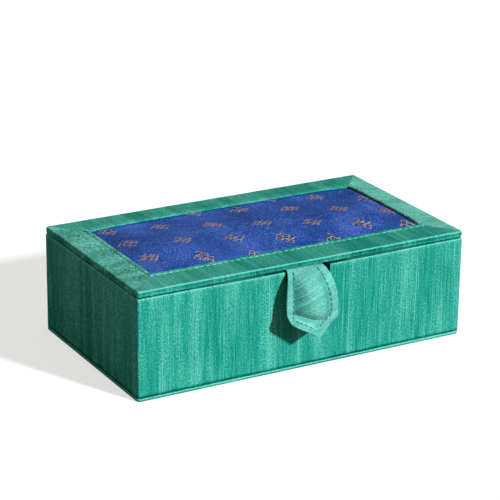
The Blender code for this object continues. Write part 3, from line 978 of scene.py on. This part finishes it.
def corner_stations():
    """Stations round the wall: the centre of each one's corner circle and its angle outwards."""
    x_low, x_high, y_low, y_high = shrink(wall_plan, wall_corner)
    turn = 2 * notch_turn
    marks = (x_low, notch_low_x - turn, notch_low_x + turn, notch_high_x - turn, notch_high_x + turn, x_high)
    xs = spread_on(marks, (wall_station, notch_turn / 3) * 2 + (wall_station,))
    ys = spread(y_low, y_high, wall_station)
    walls = (
        (270, [(x, y_low) for x in xs]),
        (0, [(x_high, y) for y in ys]),
        (90, [(x, y_high) for x in spread(x_high, x_low, wall_station)]),
        (180, [(x_low, y) for y in reversed(ys)]),
    )
    turns = [90 * step / corner_steps for step in range(1, corner_steps)]
    stations = []
    for facing, places in walls:
        stations += [(*place, facing * degree) for place in places]
        stations += [(*places[-1], (facing + turned) * degree) for turned in turns]
    return stations


def moved_in(value, outer, inner):
    """Slide a coordinate from a larger half width to a smaller one, leaving the middle alone."""
    share = smooth((abs(value) / outer - slide_share) / (1 - slide_share))
    return value - math.copysign((outer - inner) * share, value)


def wall_point(station, inset, radius, z):
    """Point of the wall cloth at a station, at a distance inside the outer faces."""
    x, y, angle = station
    x = moved_in(x, wall_plan[1] - wall_corner, wall_plan[1] - inset - radius)
    y = moved_in(y, wall_plan[3] - wall_corner, wall_plan[3] - inset - radius)
    return Vector((*on_circle(x, y, radius, angle), z))


def notch_share(x, grown):
    """1 within the notch and 0 beside it, with soft shoulders."""
    enter = smooth((x - notch_low_x + grown + notch_turn / 2) / notch_turn)
    leave = smooth((x - notch_high_x - grown + notch_turn / 2) / notch_turn)
    return enter * (1 - leave)


def front_bow(x):
    """Height by which the tab's thickness holds the front of the lid off the rim."""
    return bow_height * smooth(bow_full_share * (1 - abs(x) / bow_half))


def rim_top(station, grown=0.0):
    x, _, angle = station
    if abs(angle - 270 * degree) > degree:
        return wall_high.z
    top = wall_high.z - front_bow(x)
    return top - (top - notch_floor) * notch_share(x, grown)


def wall_section(station):
    """Closed section of the cloth, up the wall, over the rim and back: inset, corner radius and height."""
    top = rim_top(station)
    under = rim_top(station, cloth) - cloth
    bottom = wall_low.z
    fold = rim_radius
    inner = rim_width - cloth
    hem = wall_high.z - turn_in
    back_top = under - fold / 2
    rows = round((wall_high.z - bottom) / wall_row)
    points = [(0, wall_corner, mix(bottom, top - fold, row / rows)) for row in range(rows + 1)]
    for angle in fold_angles:
        inset = fold * (1 - math.cos(angle))
        points.append((inset, wall_corner - inset / 2, top - fold + fold * math.sin(angle)))
    for share in rim_shares:
        radius = mix(wall_corner, rim_inner_corner, share) - fold / 2 * (1 - share)
        points.append((mix(fold, rim_width - fold, share), radius, top))
    for angle in fold_angles:
        inset = rim_width - fold + fold * math.sin(angle)
        points.append((inset, rim_inner_corner, top - fold + fold * math.cos(angle)))
    for share in hem_shares:
        points.append((rim_width, rim_inner_corner, mix(top - fold, min(hem, top - 2 * fold), share)))
    for share in lift_shares:
        points.append((inner, rim_inner_corner, mix(min(hem, back_top - fold), back_top, share)))
    points.append((inner - fold / 2, rim_inner_corner, under))
    points.append((cloth + fold / 2, wall_corner - cloth, under))
    for row in range(rows // 2 + 1):
        points.append((cloth, wall_corner - cloth, mix(back_top, bottom, row / (rows // 2))))
    return points


def build_wall_skin():
    rows = []
    rub = []
    for station in corner_stations():
        outwards = Vector((math.cos(station[2]), math.sin(station[2]), 0))
        top = rim_top(station)
        row = []
        for inset, radius, z in wall_section(station):
            point = wall_point(station, inset, radius, z)
            above = z - wall_low.z
            if inset == 0:
                edge = smooth(above / wall_fade_low) * smooth((wall_high.z - z) / wall_fade_high)
                point += outwards * lumps(*point, skin_wave_size) * skin_wave * edge
            row.append(point)
            # Painted highlight along the rim's crest, and painted shade on the rim under the lid and at the
            # foot of the wall
            crest = crest_share * falling(abs(z - top + crest_drop), crest_height)
            crest *= falling(inset, crest_depth)
            crest *= 1 + crest_lump_share * lumps(*point.xy, 0, crest_lump, 43)
            hidden = smooth((inset - crest_drop) / rim_radius) * falling(inset - rim_shade_start, rim_shade_fade)
            hidden += foot_dark_share * falling(above, foot_dark_height)
            rub.append(crest - lid_gap_shade_share * hidden)
        rows.append(row)
    piece = tube_piece("wall_skin", rows, wall_silk, "ring", rub)
    place_piece(piece, "box", "wall_cloth")


def ring_points(bounds, radius, z, step):
    """Loop round a rectangle with rounded corners, with stations about a step apart."""
    x_low, x_high, y_low, y_high = shrink(bounds, radius)
    centres = ((x_high, y_high), (x_low, y_high), (x_low, y_low), (x_high, y_low))
    loop = []
    for turn, (centre, after) in enumerate(zip(centres, centres[1:] + centres[:1])):
        count = round((lid_width, lid_depth)[turn % 2] / step)
        places = [(*centre, turn + index / corner_steps) for index in range(corner_steps + 1)]
        places += [(*between(centre, after, index / count), turn + 1) for index in range(1, count)]
        loop += [Vector((*on_circle(x, y, radius, turned * quarter), z)) for x, y, turned in places]
    return loop


def build_base_skin():
    """Silk wrapped round the base board's edge, open on top where the walls stand."""
    low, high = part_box("base_cloth")
    levels = []
    for middle, first in ((low.z + base_edge, -1), (high.z - base_edge, 0)):
        for step in range(fold_steps + 1):
            angle = (first + step / fold_steps) * quarter
            levels.append((base_edge * (1 - math.cos(angle)), middle + base_edge * math.sin(angle)))
    outer = len(levels)
    turned = base_edge + cloth
    levels += [(turned, high.z), (turned, high.z - cloth)]
    levels += [(cloth, high.z - base_edge), (cloth, low.z + base_edge), (turned, low.z + cloth)]
    rows = [
        ring_points(shrink(plan_of(low, high), inset), max(base_corner - inset, base_edge), z, wall_station)
        for inset, z in levels
    ]
    for row in rows[:outer]:
        for point in row:
            point.z += lumps(*point, skin_wave_size, 3) * skin_wave * smooth(point.z / base_edge)
    # Painted shade and painted highlights of the base's edge, one value a row
    rub = [share for row, share in zip(rows, base_painted_shading) for _ in row]
    piece = tube_piece("base_skin", rows, base_silk, rub=rub)
    place_piece(piece, "box", "base_cloth")


def runs_along_x(side):
    return side in ("front", "back")


def strip_length(side):
    return lid_width if runs_along_x(side) else lid_depth


def from_fold(side, x, y):
    """Distance outwards from a strip's fold."""
    x_low, x_high, y_low, y_high = window
    return {"front": y_low - y, "back": y - y_high, "left": x_low - x, "right": x - x_high}[side]


def strip_width(side):
    """Width of a strip from the lid's edge to the window."""
    low_corner, high_corner = lid_plan[::2], lid_plan[1::2]
    return from_fold(side, *(low_corner if side in ("front", "left") else high_corner))


def strip_line(bounds, radius, side, count):
    """Plan of one side of a rounded rectangle, from the middle of one corner to the middle of the next."""
    x_low, x_high, y_low, y_high = shrink(bounds, radius)
    first, last, facing = {
        "front": ((x_low, y_low), (x_high, y_low), 270),
        "right": ((x_high, y_low), (x_high, y_high), 0),
        "back": ((x_high, y_high), (x_low, y_high), 90),
        "left": ((x_low, y_high), (x_low, y_low), 180),
    }[side]
    places = [(*first, facing - 45 + 45 * step / corner_steps) for step in range(corner_steps)]
    places += [(*between(first, last, step / count), facing) for step in range(count + 1)]
    places += [(*last, facing + 45 * step / corner_steps) for step in range(1, corner_steps + 1)]
    return [on_circle(x, y, radius, angle * degree) for x, y, angle in places]


def leaf_height(distance):
    """Height of a strip's top at a distance from its fold: puffed lip, sewn groove and nearly flat leaf."""
    past = distance - seam_inset
    puff = lip_puff * math.sin(math.pi * distance / seam_inset) if past < 0 else 0.0
    swell = leaf_swell * smooth(past / leaf_swell_rise) * falling(distance - leaf_swell_end, leaf_swell_fade)
    return lid_high_z - seam_groove * bell(past, seam_groove_width) + puff + swell


def strip_levels(side):
    """Cross-section of a strip as plan, corner radius, height, share of the cloth's waviness, and painted
    highlight or painted shade.
    """
    width = strip_width(side)
    low, high = lid_low_z, lid_high_z
    levels = []

    def edge_level(inset, z, wave=0.0, rub=0.0):
        levels.append((shrink(lid_plan, inset), max(lid_corner - inset, gap), z, wave, rub))

    def leaf_level(distance, z, wave=1.0):
        # Painted shade along the inner lip
        rub = lip_shades[side] * falling(distance, lip_shade_width)
        share = (width - lid_edge - distance) / (width - lid_edge)
        radius = mix(lid_corner - lid_edge, gap, min(1, share * 4))
        levels.append((between(shrink(lid_plan, lid_edge), window, share), radius, z, wave, rub))

    # Painted shade under the lid and on its side face, and a painted highlight along its top edge
    for inset in spread(strip_turn_under, lid_edge, strip_under_row):
        edge_level(inset, low, rub=-turned_under_share)
    for angle in fold_angles:
        rub = -lid_gap_shade_share * (1 - angle / quarter)
        edge_level(lid_edge * (1 - math.sin(angle)), low + lid_edge * (1 - math.cos(angle)), rub=rub)
    for z in spread(low + lid_edge, high - lid_edge, strip_face_row)[1:]:
        edge_level(0, z, 0.3, -lid_face_dark)
    for step in range(1, strip_top_steps + 1):
        angle = quarter * step / strip_top_steps
        rub = strip_crests[side] * math.sin(2 * angle) ** 4 - lid_face_dark * math.cos(angle)
        edge_level(lid_edge * (1 - math.cos(angle)), high - lid_edge * (1 - math.sin(angle)), 0.5, rub)
    fine = seam_inset + 3 * seam_groove_width
    half = fold_thickness / 2
    for distance in spread_on((width - lid_edge, fine, half), (strip_row, seam_groove_width / 2))[1:]:
        leaf_level(distance, leaf_height(distance))
    for step in range(1, strip_fold_steps):
        angle = math.pi * step / strip_fold_steps
        wave = 0.6 * (1 - step / strip_fold_steps)
        leaf_level(half * (1 - math.sin(angle)), high - half * (1 - math.cos(angle)), wave)
    leaf_low = high - fold_thickness
    for distance in spread(half, width - 3 * lid_edge, strip_hidden_row):
        leaf_level(distance, leaf_low, 0.0)
    edge_level(cloth + gap, leaf_low - cloth)
    edge_level(cloth, leaf_low - 2 * cloth)
    edge_level(cloth, low + cloth + lid_edge / 2)
    edge_level(2 * cloth, low + cloth)
    edge_level(strip_turn_under, low + cloth)
    return levels


def corner_shade(side, x, y):
    """Painted sheen on the front strip by its left end, and painted shade on the left strip there."""
    if side == "front":
        return front_corner_light * math.exp((lid_plan[0] - x) / front_corner_reach)
    if side == "left":
        return -left_corner_dark * math.exp((lid_plan[2] - y) / left_corner_reach)
    return 0.0


def fold_lift(side, x, y):
    """Rise of a strip and of the panel by its fold, where the wadding pushes them up."""
    along, low, high = (x, *window[:2]) if runs_along_x(side) else (y, *window[2:])
    share = max(-1, min(1, (2 * along - low - high) / (high - low)))
    distance = from_fold(side, x, y)
    reach = lift_reach if distance > 0 else lift_reach_inside
    return fold_lifts[side] * (1 - share ** 8) * smooth(1 - abs(distance) / reach)


def strip_surface(side, x, y):
    """Waviness of a strip's cloth: slow lumps and small puckers at the stitches."""
    seed = strip_seeds[side]
    along = x if runs_along_x(side) else y
    wave = lumps(x, y, 0, strip_wave_size, seed)
    wave += lumps(x, y, 0, strip_wave_size / 3, seed + 3) * strip_ripple_share
    near = bell(from_fold(side, x, y) - seam_inset, pucker_width)
    return wave * strip_wave + pucker * near * math.cos(2 * math.pi * along / stitch_pitch)


def build_strip(side):
    length = strip_length(side)
    levels = strip_levels(side)
    count = round(length / strip_station)
    lines = [strip_line(bounds, radius, side, count) for bounds, radius, _, _, _ in levels]
    closer = 1 - gap / length
    last = len(lines[0]) - 1
    rows = []
    rub = []
    for station in range(last + 1):
        whole = smooth(min(station, last - station) / corner_steps)
        row = []
        for (_, _, z, wave, level_shading), line in zip(levels, lines):
            x, y = line[station]
            if runs_along_x(side):
                x *= closer
            else:
                y *= closer
            above = z - lid_low_z
            lift = strip_surface(side, x, y) * wave * whole
            lift += fold_lift(side, x, y) * smooth(above / strip_lift_rise)
            if side == "front":
                lift += front_bow(x) * falling(above, strip_bow_fade)
            row.append(Vector((x, y, z + lift)))
            # Painted shade, weaker on the left strip; painted highlights uneven along the crest; painted
            # sheen and shade by the front-left corner
            if level_shading < 0 and side == "left":
                level_shading *= side_face_share
            if level_shading > 0:
                level_shading *= 1 + crest_lump_share * lumps(x, y, 0, crest_lump, 41)
            rub.append(level_shading + corner_shade(side, x, y) * wave)
        rows.append(row)
    piece = tube_piece(f"{side}_strip", rows, strip_silk[side], rub=rub)
    place_piece(piece, "lid", f"border_{side}")


def build_strip_stitches(side):
    """Light stitches in the groove of a strip, from mitre to mitre."""
    x_low, x_high, y_low, y_high = shrink(window, -seam_inset)
    first, last = {
        "front": ((x_low, y_low), (x_high, y_low)), "back": ((x_low, y_high), (x_high, y_high)),
        "left": ((x_low, y_low), (x_low, y_high)), "right": ((x_high, y_low), (x_high, y_high)),
    }[side]
    line = []
    for share in spread(0, 1, seam_share):
        x, y = between(first, last, share)
        z = leaf_height(seam_inset) + strip_surface(side, x, y) + fold_lift(side, x, y)
        line.append((Vector((x, y, z)), Vector((0, 0, 1))))
    courses = walk(line, stitch_pitch, stitch_length, stitch_pitch / 4)
    courses = [sunk(course, stitch_rise, stitch_radius) for course in courses]
    name = f"{side}_strip_stitches"
    place_piece(threads_piece(name, courses, stitch_radius, stitch_thread, 0.75), "lid")


def dome(x, y):
    """Rise of the padded panel between the border strips, fullest a little in front of its middle."""
    x_low, x_high, y_low, y_high = window
    depth = clamp((y - y_low) / (y_high - y_low))
    climb = depth / dome_crest_share if depth < dome_crest_share else (1 - depth) / (1 - dome_crest_share)
    side = clamp(min(x - x_low, x_high - x) / dome_shoulder)
    full = dome_height * math.sin(climb * quarter) * math.sin(side * quarter)
    lifted = sum(fold_lift(strip, x, y) for strip in sides)
    return full + dome_edge_rise * smooth(edge_gap(x, y, window) / dome_edge_width) + lifted


def panel_top(x, y):
    """Height of the brocade's face, with the slow ripples of cloth over wadding."""
    loose = smooth((edge_gap(x, y, window) - panel_held) / panel_loose)
    run, rise = panel_wave_run
    slant = x * run + y * rise
    squeezed = (y * run - x * rise) * panel_wave_squeeze
    ripples = lumps(slant, squeezed, 0, panel_wave_size, 5) * panel_wave
    ripples += lumps(x, y, 0, panel_ruffle_size, 11) * panel_ruffle
    return panel_rim_z + dome(x, y) + ripples * loose


def build_brocade():
    x_low, x_high, y_low, y_high = panel_plan
    top = grid(spread(x_low, x_high, panel_station), spread(y_low, y_high, panel_station), panel_top)
    bottom = [[point - Vector((0, 0, panel_thickness)) for point in row] for row in top]
    piece = sheet_piece("brocade_panel_cloth", top, bottom, blue_brocade)
    place_piece(piece, "lid", "brocade_panel")


def build_wadding():
    """Wadding that fills the space under the brocade."""
    low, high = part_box("lid_wadding")
    xs = spread(low.x, high.x, wadding_station)
    ys = spread(low.y, high.y, wadding_station)
    top = grid(xs, ys, lambda x, y: max(high.z, panel_top(x, y) - wadding_clearance))
    piece = sheet_piece("wadding_pad", top, grid(xs, ys, lambda x, y: low.z), wadding)
    place_piece(piece, "lid", "lid_wadding")


def on_panel(place, rise):
    return Vector((place.x, place.y, panel_top(place.x, place.y) + rise)), Vector((0, 0, 1))


def ring_courses(centre, across, along):
    """Light thread round one small lozenge, uneven and often open, and dark wefts within it."""
    half_across = across * ring_share / 2
    half_along = along * ring_share / 2
    corners = []
    for first, second in ring_corners:
        corner = centre + half_across * first + half_along * second
        shift = [lumps(*corner, 0, ring_jitter_size, seed) * ring_jitter for seed in (31, 37)]
        corners.append(corner + Vector(shift))
    pick = math.floor(abs(lumps(*centre, 0, ring_jitter_size, 23)) * 997) % len(ring_paths)
    path = [corners[index] for index in ring_paths[pick]]
    ring = [
        on_panel(first.lerp(last, share), ring_thread * ring_rise_share)
        for first, last in zip(path, path[1:]) for share in ring_side_shares
    ]
    wefts = [
        [on_panel(centre + half_along * place + half_across * share, weft_thread * weft_rise_share)
         for share in weft_shares]
        for place in weft_places
    ]
    return ring, wefts


def build_motifs():
    """Brocaded lozenges, each of nine small rings of light thread over dark wefts, with a loose tail."""
    rings = []
    wefts = []
    for place in motif_places:
        middle = Vector(place) * mm
        near = smooth((middle.y - motif_stretch_y[0]) / (motif_stretch_y[1] - motif_stretch_y[0]))
        along = Vector(ring_along)
        across = Vector(ring_across)
        for step in (along, across):
            step.y *= 1 + motif_stretch * near
        for first in ring_steps:
            for second in ring_steps:
                centre = middle + across * first + along * second
                if edge_gap(*centre, window) > -motif_tuck:
                    ring, inner = ring_courses(centre, across, along)
                    rings.append(ring)
                    wefts += inner
        diagonal = across + along
        tail = middle - diagonal * tail_start
        if edge_gap(*tail, window) > ring_thread:
            spots = [tail + diagonal * share for share in tail_shares]
            rings.append([on_panel(spot, ring_thread * tail_rise_share) for spot in spots])
    place_piece(threads_piece("motif_wefts", wefts, weft_thread, motif_ground, 0.3), "lid")
    place_piece(threads_piece("motif_threads", rings, ring_thread, motif_thread, 0.6), "lid")


def soft_least(first, second, softness):
    """The lesser of two lengths, eased where they are equal."""
    return first - softness * math.log1p(math.exp((first - second) / softness))


def tab_side(length):
    """Half the width of the tab's straight part at a distance from its root."""
    return mix(tab_root_width, tab_width, math.sin(clamp(length / tab_swell_length) * quarter)) / 2


def tab_half_width(length):
    slanted = tab_tip_width / 2 + (tab_length - length) * tab_slope
    return soft_least(tab_side(length), slanted, tab_corner_softness)


def tab_edge_distance(length, across):
    """Distance from the tab's outline, measured square to its nearest side."""
    slanted = tab_tip_width / 2 + (tab_length - length) * tab_slope - abs(across)
    side = tab_side(length) - abs(across)
    return soft_least(side, slanted / math.hypot(1, tab_slope), tab_corner_softness / 2)


def tab_seam_distance(length, across):
    """Distance inside the sewn line, which runs unevenly down the two sides of the tab."""
    side = 2 if across > 0 else 1
    inset = tab_seam_insets[-1][side]
    for low, high in zip(tab_seam_insets, tab_seam_insets[1:]):
        if length < high[0]:
            inset = mix(low[side], high[side], max(0, (length - low[0]) / (high[0] - low[0])))
            break
    return tab_edge_distance(length, across) - inset


def past_crease(length, across):
    """Distance past the crease where the flap turns up."""
    return length - tab_crease_length - tab_crease_slope_share * across


def tab_heading(length, across):
    """Angle below the horizontal in which the tab runs at a point on it."""
    if length < 0:
        return tab_bow_start * smooth(1 + length / tab_leaf_turn)
    bow = mix(tab_bow_start, tab_bow_end, 1 - math.exp(-length / tab_bow_length))
    return mix(bow, tab_flap_angle, smooth(past_crease(length, across) / tab_crease_turn))


def tab_run(length, across):
    angle = tab_heading(length, across)
    return Vector((0, -math.cos(angle), -math.sin(angle)))


def tab_out(length, across):
    angle = tab_heading(length, across)
    return Vector((0, -math.sin(angle), math.cos(angle)))


@functools.cache
def tab_line(column):
    """Middle surface of the tab at one distance from its centre line, as points a step apart."""
    across = column * tab_line_step
    ahead = [Vector((tab_centre + across, tab_root_y, tab_root_z))]
    for index in range(tab_steps_ahead):
        ahead.append(ahead[-1] + tab_run((index + 0.5) * tab_step, across) * tab_step)
    behind = ahead[:1]
    for index in range(tab_steps_behind):
        behind.append(behind[-1] - tab_run(-(index + 0.5) * tab_step, across) * tab_step)
    return behind[:0:-1] + ahead


def tab_place(length, across, lift):
    """Point of the tab at a height over its middle surface."""
    column = round(across / tab_line_step)
    line = tab_line(column)
    index = length / tab_step + tab_steps_behind
    low = max(0, min(len(line) - 2, math.floor(index)))
    point = line[low].lerp(line[low + 1], index - low)
    point.x += across - column * tab_line_step
    return point + tab_out(length, across) * lift


def tab_pad(length, across):
    """Rise of the padding inside the seam: long slope on the left, and pinched at the crease."""
    inside = tab_seam_distance(length, across)
    if inside <= 0:
        return 0.0
    past = past_crease(length, across)
    slope = tab_right_slope
    reach = inside
    if across < 0:
        slope = mix(slope, tab_left_slope, smooth((length - tab_slope_start) / tab_slope_run))
        reach = tab_half_width(length) - tab_seam_insets[2][1] + across
    side = math.sin(clamp(reach / slope) * quarter)
    full = smooth(length / tab_pad_rise) * rounded((tab_pinch_past - past) / tab_pinch)
    full *= smooth(inside / tab_pad_edge)
    flap = smooth((past - tab_flap_start) / tab_flap_rise) * smooth(inside / tab_flap_rise)
    return tab_pad_height * side * full + tab_flap_height * flap


def tab_wrinkle(length, across):
    """Small creases of the sewn cloth, strongest by the flap's crease."""
    wave = lumps(across, length, 0, tab_wrinkle_size, 2) * tab_wrinkle_height
    fine = lumps(across * 0.4 + length, length * 2, 0, tab_pucker_size, 9) * tab_pucker_height
    wave += fine * bell(past_crease(length, across), tab_wrinkle_reach)
    return wave * smooth(length / tab_wrinkle_reach)


def tab_face(length, across):
    """Height of the tab's outer face over its middle surface."""
    edge = rounded(tab_edge_distance(length, across) / tab_edge_half)
    if length < 0:
        leaf = mix(tab_leaf_half, tab_edge_half, smooth(1 + length / tab_leaf_fade))
        return leaf * max(tab_leaf_edge_share, edge)
    groove = tab_groove * bell(tab_seam_distance(length, across), tab_groove_width)
    height = tab_edge_half + tab_pad(length, across) - groove
    return max(tab_thin, height * edge) + tab_wrinkle(length, across) * edge


def tab_back(length, across):
    """Depth of the tab's inner face under its middle surface."""
    edge = rounded(tab_edge_distance(length, across) / tab_edge_half)
    half = mix(tab_leaf_half, tab_under_half, smooth(1 + length / tab_leaf_fade))
    return max(tab_thin_under, half * edge)


def tab_painted_shading(length, across):
    """Painted light on the flap, and painted shade above the crease, beside it and down the slope on the
    left.
    """
    past = past_crease(length, across)
    seam = tab_seam_distance(length, across)
    inside = smooth(seam / tab_shade_inside)
    crease = bell(past + tab_shade_above, tab_shade_width) * inside
    slope = 0.0
    if across < 0:
        crease += tab_nick_share * bell(past, tab_nick_width) * (1 - inside)
        slope = inside * smooth((length - tab_slope_dark_start) / tab_slope_dark_run)
        slope *= smooth((tab_slope_dark_past - past) / tab_slope_dark_fade) * falling(seam, tab_slope_width)
    light = tab_flap_light * smooth(past / tab_flap_light_rise)
    return light - tab_crease_dark * crease - tab_slope_dark * slope


def tab_acrosses(length):
    """Places across the tab at a length, closer together by its edges."""
    half = tab_half_width(max(0, length))
    shares = [column / tab_columns for column in range(tab_columns + 1)]
    return [
        half * mix(math.sin((share - 0.5) * math.pi), 2 * share - 1, tab_column_share)
        for share in shares
    ]


def build_tab():
    rows = []
    flat = []
    rub = []
    for length in spread(-tab_leaf_length, tab_length, tab_step):
        places = tab_acrosses(length)
        upper = [tab_place(length, across, tab_face(length, across)) for across in places]
        lower = [tab_place(length, across, -tab_back(length, across)) for across in places]
        rows.append(upper + lower[::-1])
        flat += [(across, length) for across in places + places[::-1]]
        # Painted light and painted shade on the tab's outer face only
        rub += [tab_painted_shading(length, across) for across in places] + [0.0] * len(places)
    piece = tube_piece("pull_tab", rows, tab_silk, "sheet", rub, flat)
    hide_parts("tab_cloth", "tab_core", "tab_root")
    blend_tab(piece)


def blend_tab(piece):
    """Bake the piece's place into its mesh; the tab's cloth already bends in its shape where it leaves the
    lid.
    """
    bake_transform(piece)


def tab_seam_across(length, side):
    """Place of the sewn line across the tab on one side, or None past its point."""
    if tab_seam_distance(length, side * gap) < 0:
        return None
    low = gap
    high = tab_width / 2
    for _ in range(seam_halvings):
        reach = (low + high) / 2
        if tab_seam_distance(length, side * reach) > 0:
            low = reach
        else:
            high = reach
    return side * low


def build_tab_stitches():
    """Dark stitches down both sides of the tab to its point."""
    lengths = spread(tab_stitch_start, tab_length - tab_seam_insets[-1][1], tab_stitch_step)
    stitches = []
    for side in (-1, 1):
        course = []
        for length in lengths:
            across = tab_seam_across(length, side)
            if across:
                course.append((tab_place(length, across, tab_face(length, across)), tab_out(length, across)))
        for stitch in walk(course, tab_stitch_pitch, tab_stitch_length):
            stitches.append(sunk(stitch, tab_stitch_rise, tab_stitch_radius))
    blend_tab(threads_piece("tab_stitches", stitches, tab_stitch_radius, tab_thread, 0.8))


def build_hinge():
    """Strip of silk up the back wall and the lid's back edge, bending on the hinge line."""
    low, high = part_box("hinge_cloth")
    knee = wall_high.z - cloth
    shoulder = lid_low_z + cloth
    xs = spread(low.x, high.x, hinge_column)
    inner = []
    outer = []
    for z in spread_on((low.z, knee, shoulder, high.z), hinge_rows):
        y = mix(low.y + hinge_off_wall, low.y, smooth((z - knee) / (shoulder - knee)))
        inner.append([Vector((x, y, z)) for x in xs])
        row = []
        for x in xs:
            edge = edge_gap(x, z, (low.x, high.x, low.z, high.z))
            thick = cloth * mix(hinge_edge_share, 1, smooth(edge / hinge_edge))
            wave = lumps(x, 0, z, hinge_wave_size, 4) * hinge_wave * smooth(edge / hinge_wave_edge)
            row.append(Vector((x, y + thick + wave, z)))
        outer.append(row)
    piece = sheet_piece("hinge_strip", outer, inner, hinge_silk)
    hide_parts("hinge_cloth")
    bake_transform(piece)


def roll_section(half, low_z, high_z):
    """Outline of a ring roll: flat underneath, straight sides and a half-round top."""
    shoulder = high_z - half
    sides_up = [mix(low_z, shoulder, share) for share in roll_side_shares]
    angles = [math.pi * step / roll_steps for step in range(roll_steps + 1)]
    section = [(y, low_z) for y in (-half, -half / 2, 0, half / 2, half)]
    section += [(half, z) for z in sides_up]
    section += [(half * math.cos(angle), shoulder + half * math.sin(angle)) for angle in angles]
    return section + [(-half, z) for z in reversed(sides_up)]


def build_roll(number):
    """Ring roll of velvet over foam, with gathered ends."""
    low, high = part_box(f"ring_roll_{number}")
    half = (high.y - low.y) / 2
    middle = (high.y + low.y) / 2
    rows = []
    for x in spread(low.x, high.x, roll_station):
        drawn = roll_draw * falling(min(x - low.x, high.x - x), roll_draw_reach)
        row = []
        for y, z in roll_section(half, low.z, high.z):
            soft = lumps(x, middle + y, z, roll_wave_size, number) * roll_wave
            height = low.z + (z - low.z) * (1 - drawn / (high.z - low.z))
            height += soft * smooth((z - low.z) / roll_wave_fade)
            row.append(Vector((x, middle + y * (half - drawn) / half * roll_width_share, height)))
        rows.append(row)
    piece = tube_piece(f"velvet_roll_{number}", rows, cream_velvet)
    place_piece(piece, "box", f"ring_roll_{number}")


def build_floor_velvet():
    """Flat pad with rounded edges and a slightly uneven top."""
    low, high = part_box("floor_pad")
    plan = plan_of(low, high)
    edge = (high.z - low.z) / 3

    def drop(x, y):
        return edge * (1 - rounded(edge_gap(x, y, plan) / edge))

    def top(x, y):
        wave = min(lumps(x, y, 0, pad_wave_size, 6) * pad_puff, gap / 2)
        return high.z - drop(x, y) + wave * smooth(edge_gap(x, y, plan) / pad_station)

    xs = spread(low.x, high.x, pad_station)
    ys = spread(low.y, high.y, pad_station)
    bottom = grid(xs, ys, lambda x, y: low.z + drop(x, y) / 2)
    piece = sheet_piece("floor_velvet", grid(xs, ys, top), bottom, cream_velvet)
    place_piece(piece, "box", "floor_pad")


def build_covered_panel(node, material, body):
    """Card of the lined inside, covered with cloth that rounds its edges."""
    source = frame["nodes"][node]
    shape = bmesh.new()
    shape.from_mesh(source.data)
    shape.transform(source.matrix_world)
    bmesh.ops.remove_doubles(shape, verts=shape.verts, dist=weld)
    bmesh.ops.dissolve_limit(shape, angle_limit=degree, verts=shape.verts, edges=shape.edges)
    sharp = [edge for edge in shape.edges if edge.calc_face_angle(0) > fold_angle]
    bmesh.ops.bevel(
        shape, geom=sharp, offset=panel_rounding, segments=3, profile=0.5, affect="EDGES", clamp_overlap=True,
    )
    broad = [face for face in shape.faces if face.calc_area() > broad_face]
    bmesh.ops.inset_individual(shape, faces=broad, thickness=panel_rounding, use_even_offset=True)
    data = bpy.data.meshes.new(f"{node}_cloth")
    shape.to_mesh(data)
    shape.free()
    piece = finish_piece(f"{node}_cloth", data, material)
    place_piece(piece, body, node)


build_camera()
build_stage()
for board in ("base_board", "front_board", "back_board", "left_board", "right_board", "lid_board"):
    for place in frame["nodes"][board].material_slots:
        place.material = grey_board
for panel in ("front_lining", "back_lining", "left_lining", "right_lining"):
    build_covered_panel(panel, panel_lining, "box")
for panel in ("long_divider", "left_divider", "right_divider"):
    build_covered_panel(panel, divider_lining, "box")
build_covered_panel("lid_lining", lid_lining_cloth, "lid")
build_wall_skin()
build_base_skin()
for border in sides:
    build_strip(border)
for border in sides:
    build_strip_stitches(border)
build_brocade()
build_motifs()
build_tab()
build_tab_stitches()
build_hinge()
for roll in range(1, roll_count + 1):
    build_roll(roll)
build_floor_velvet()
build_wadding()
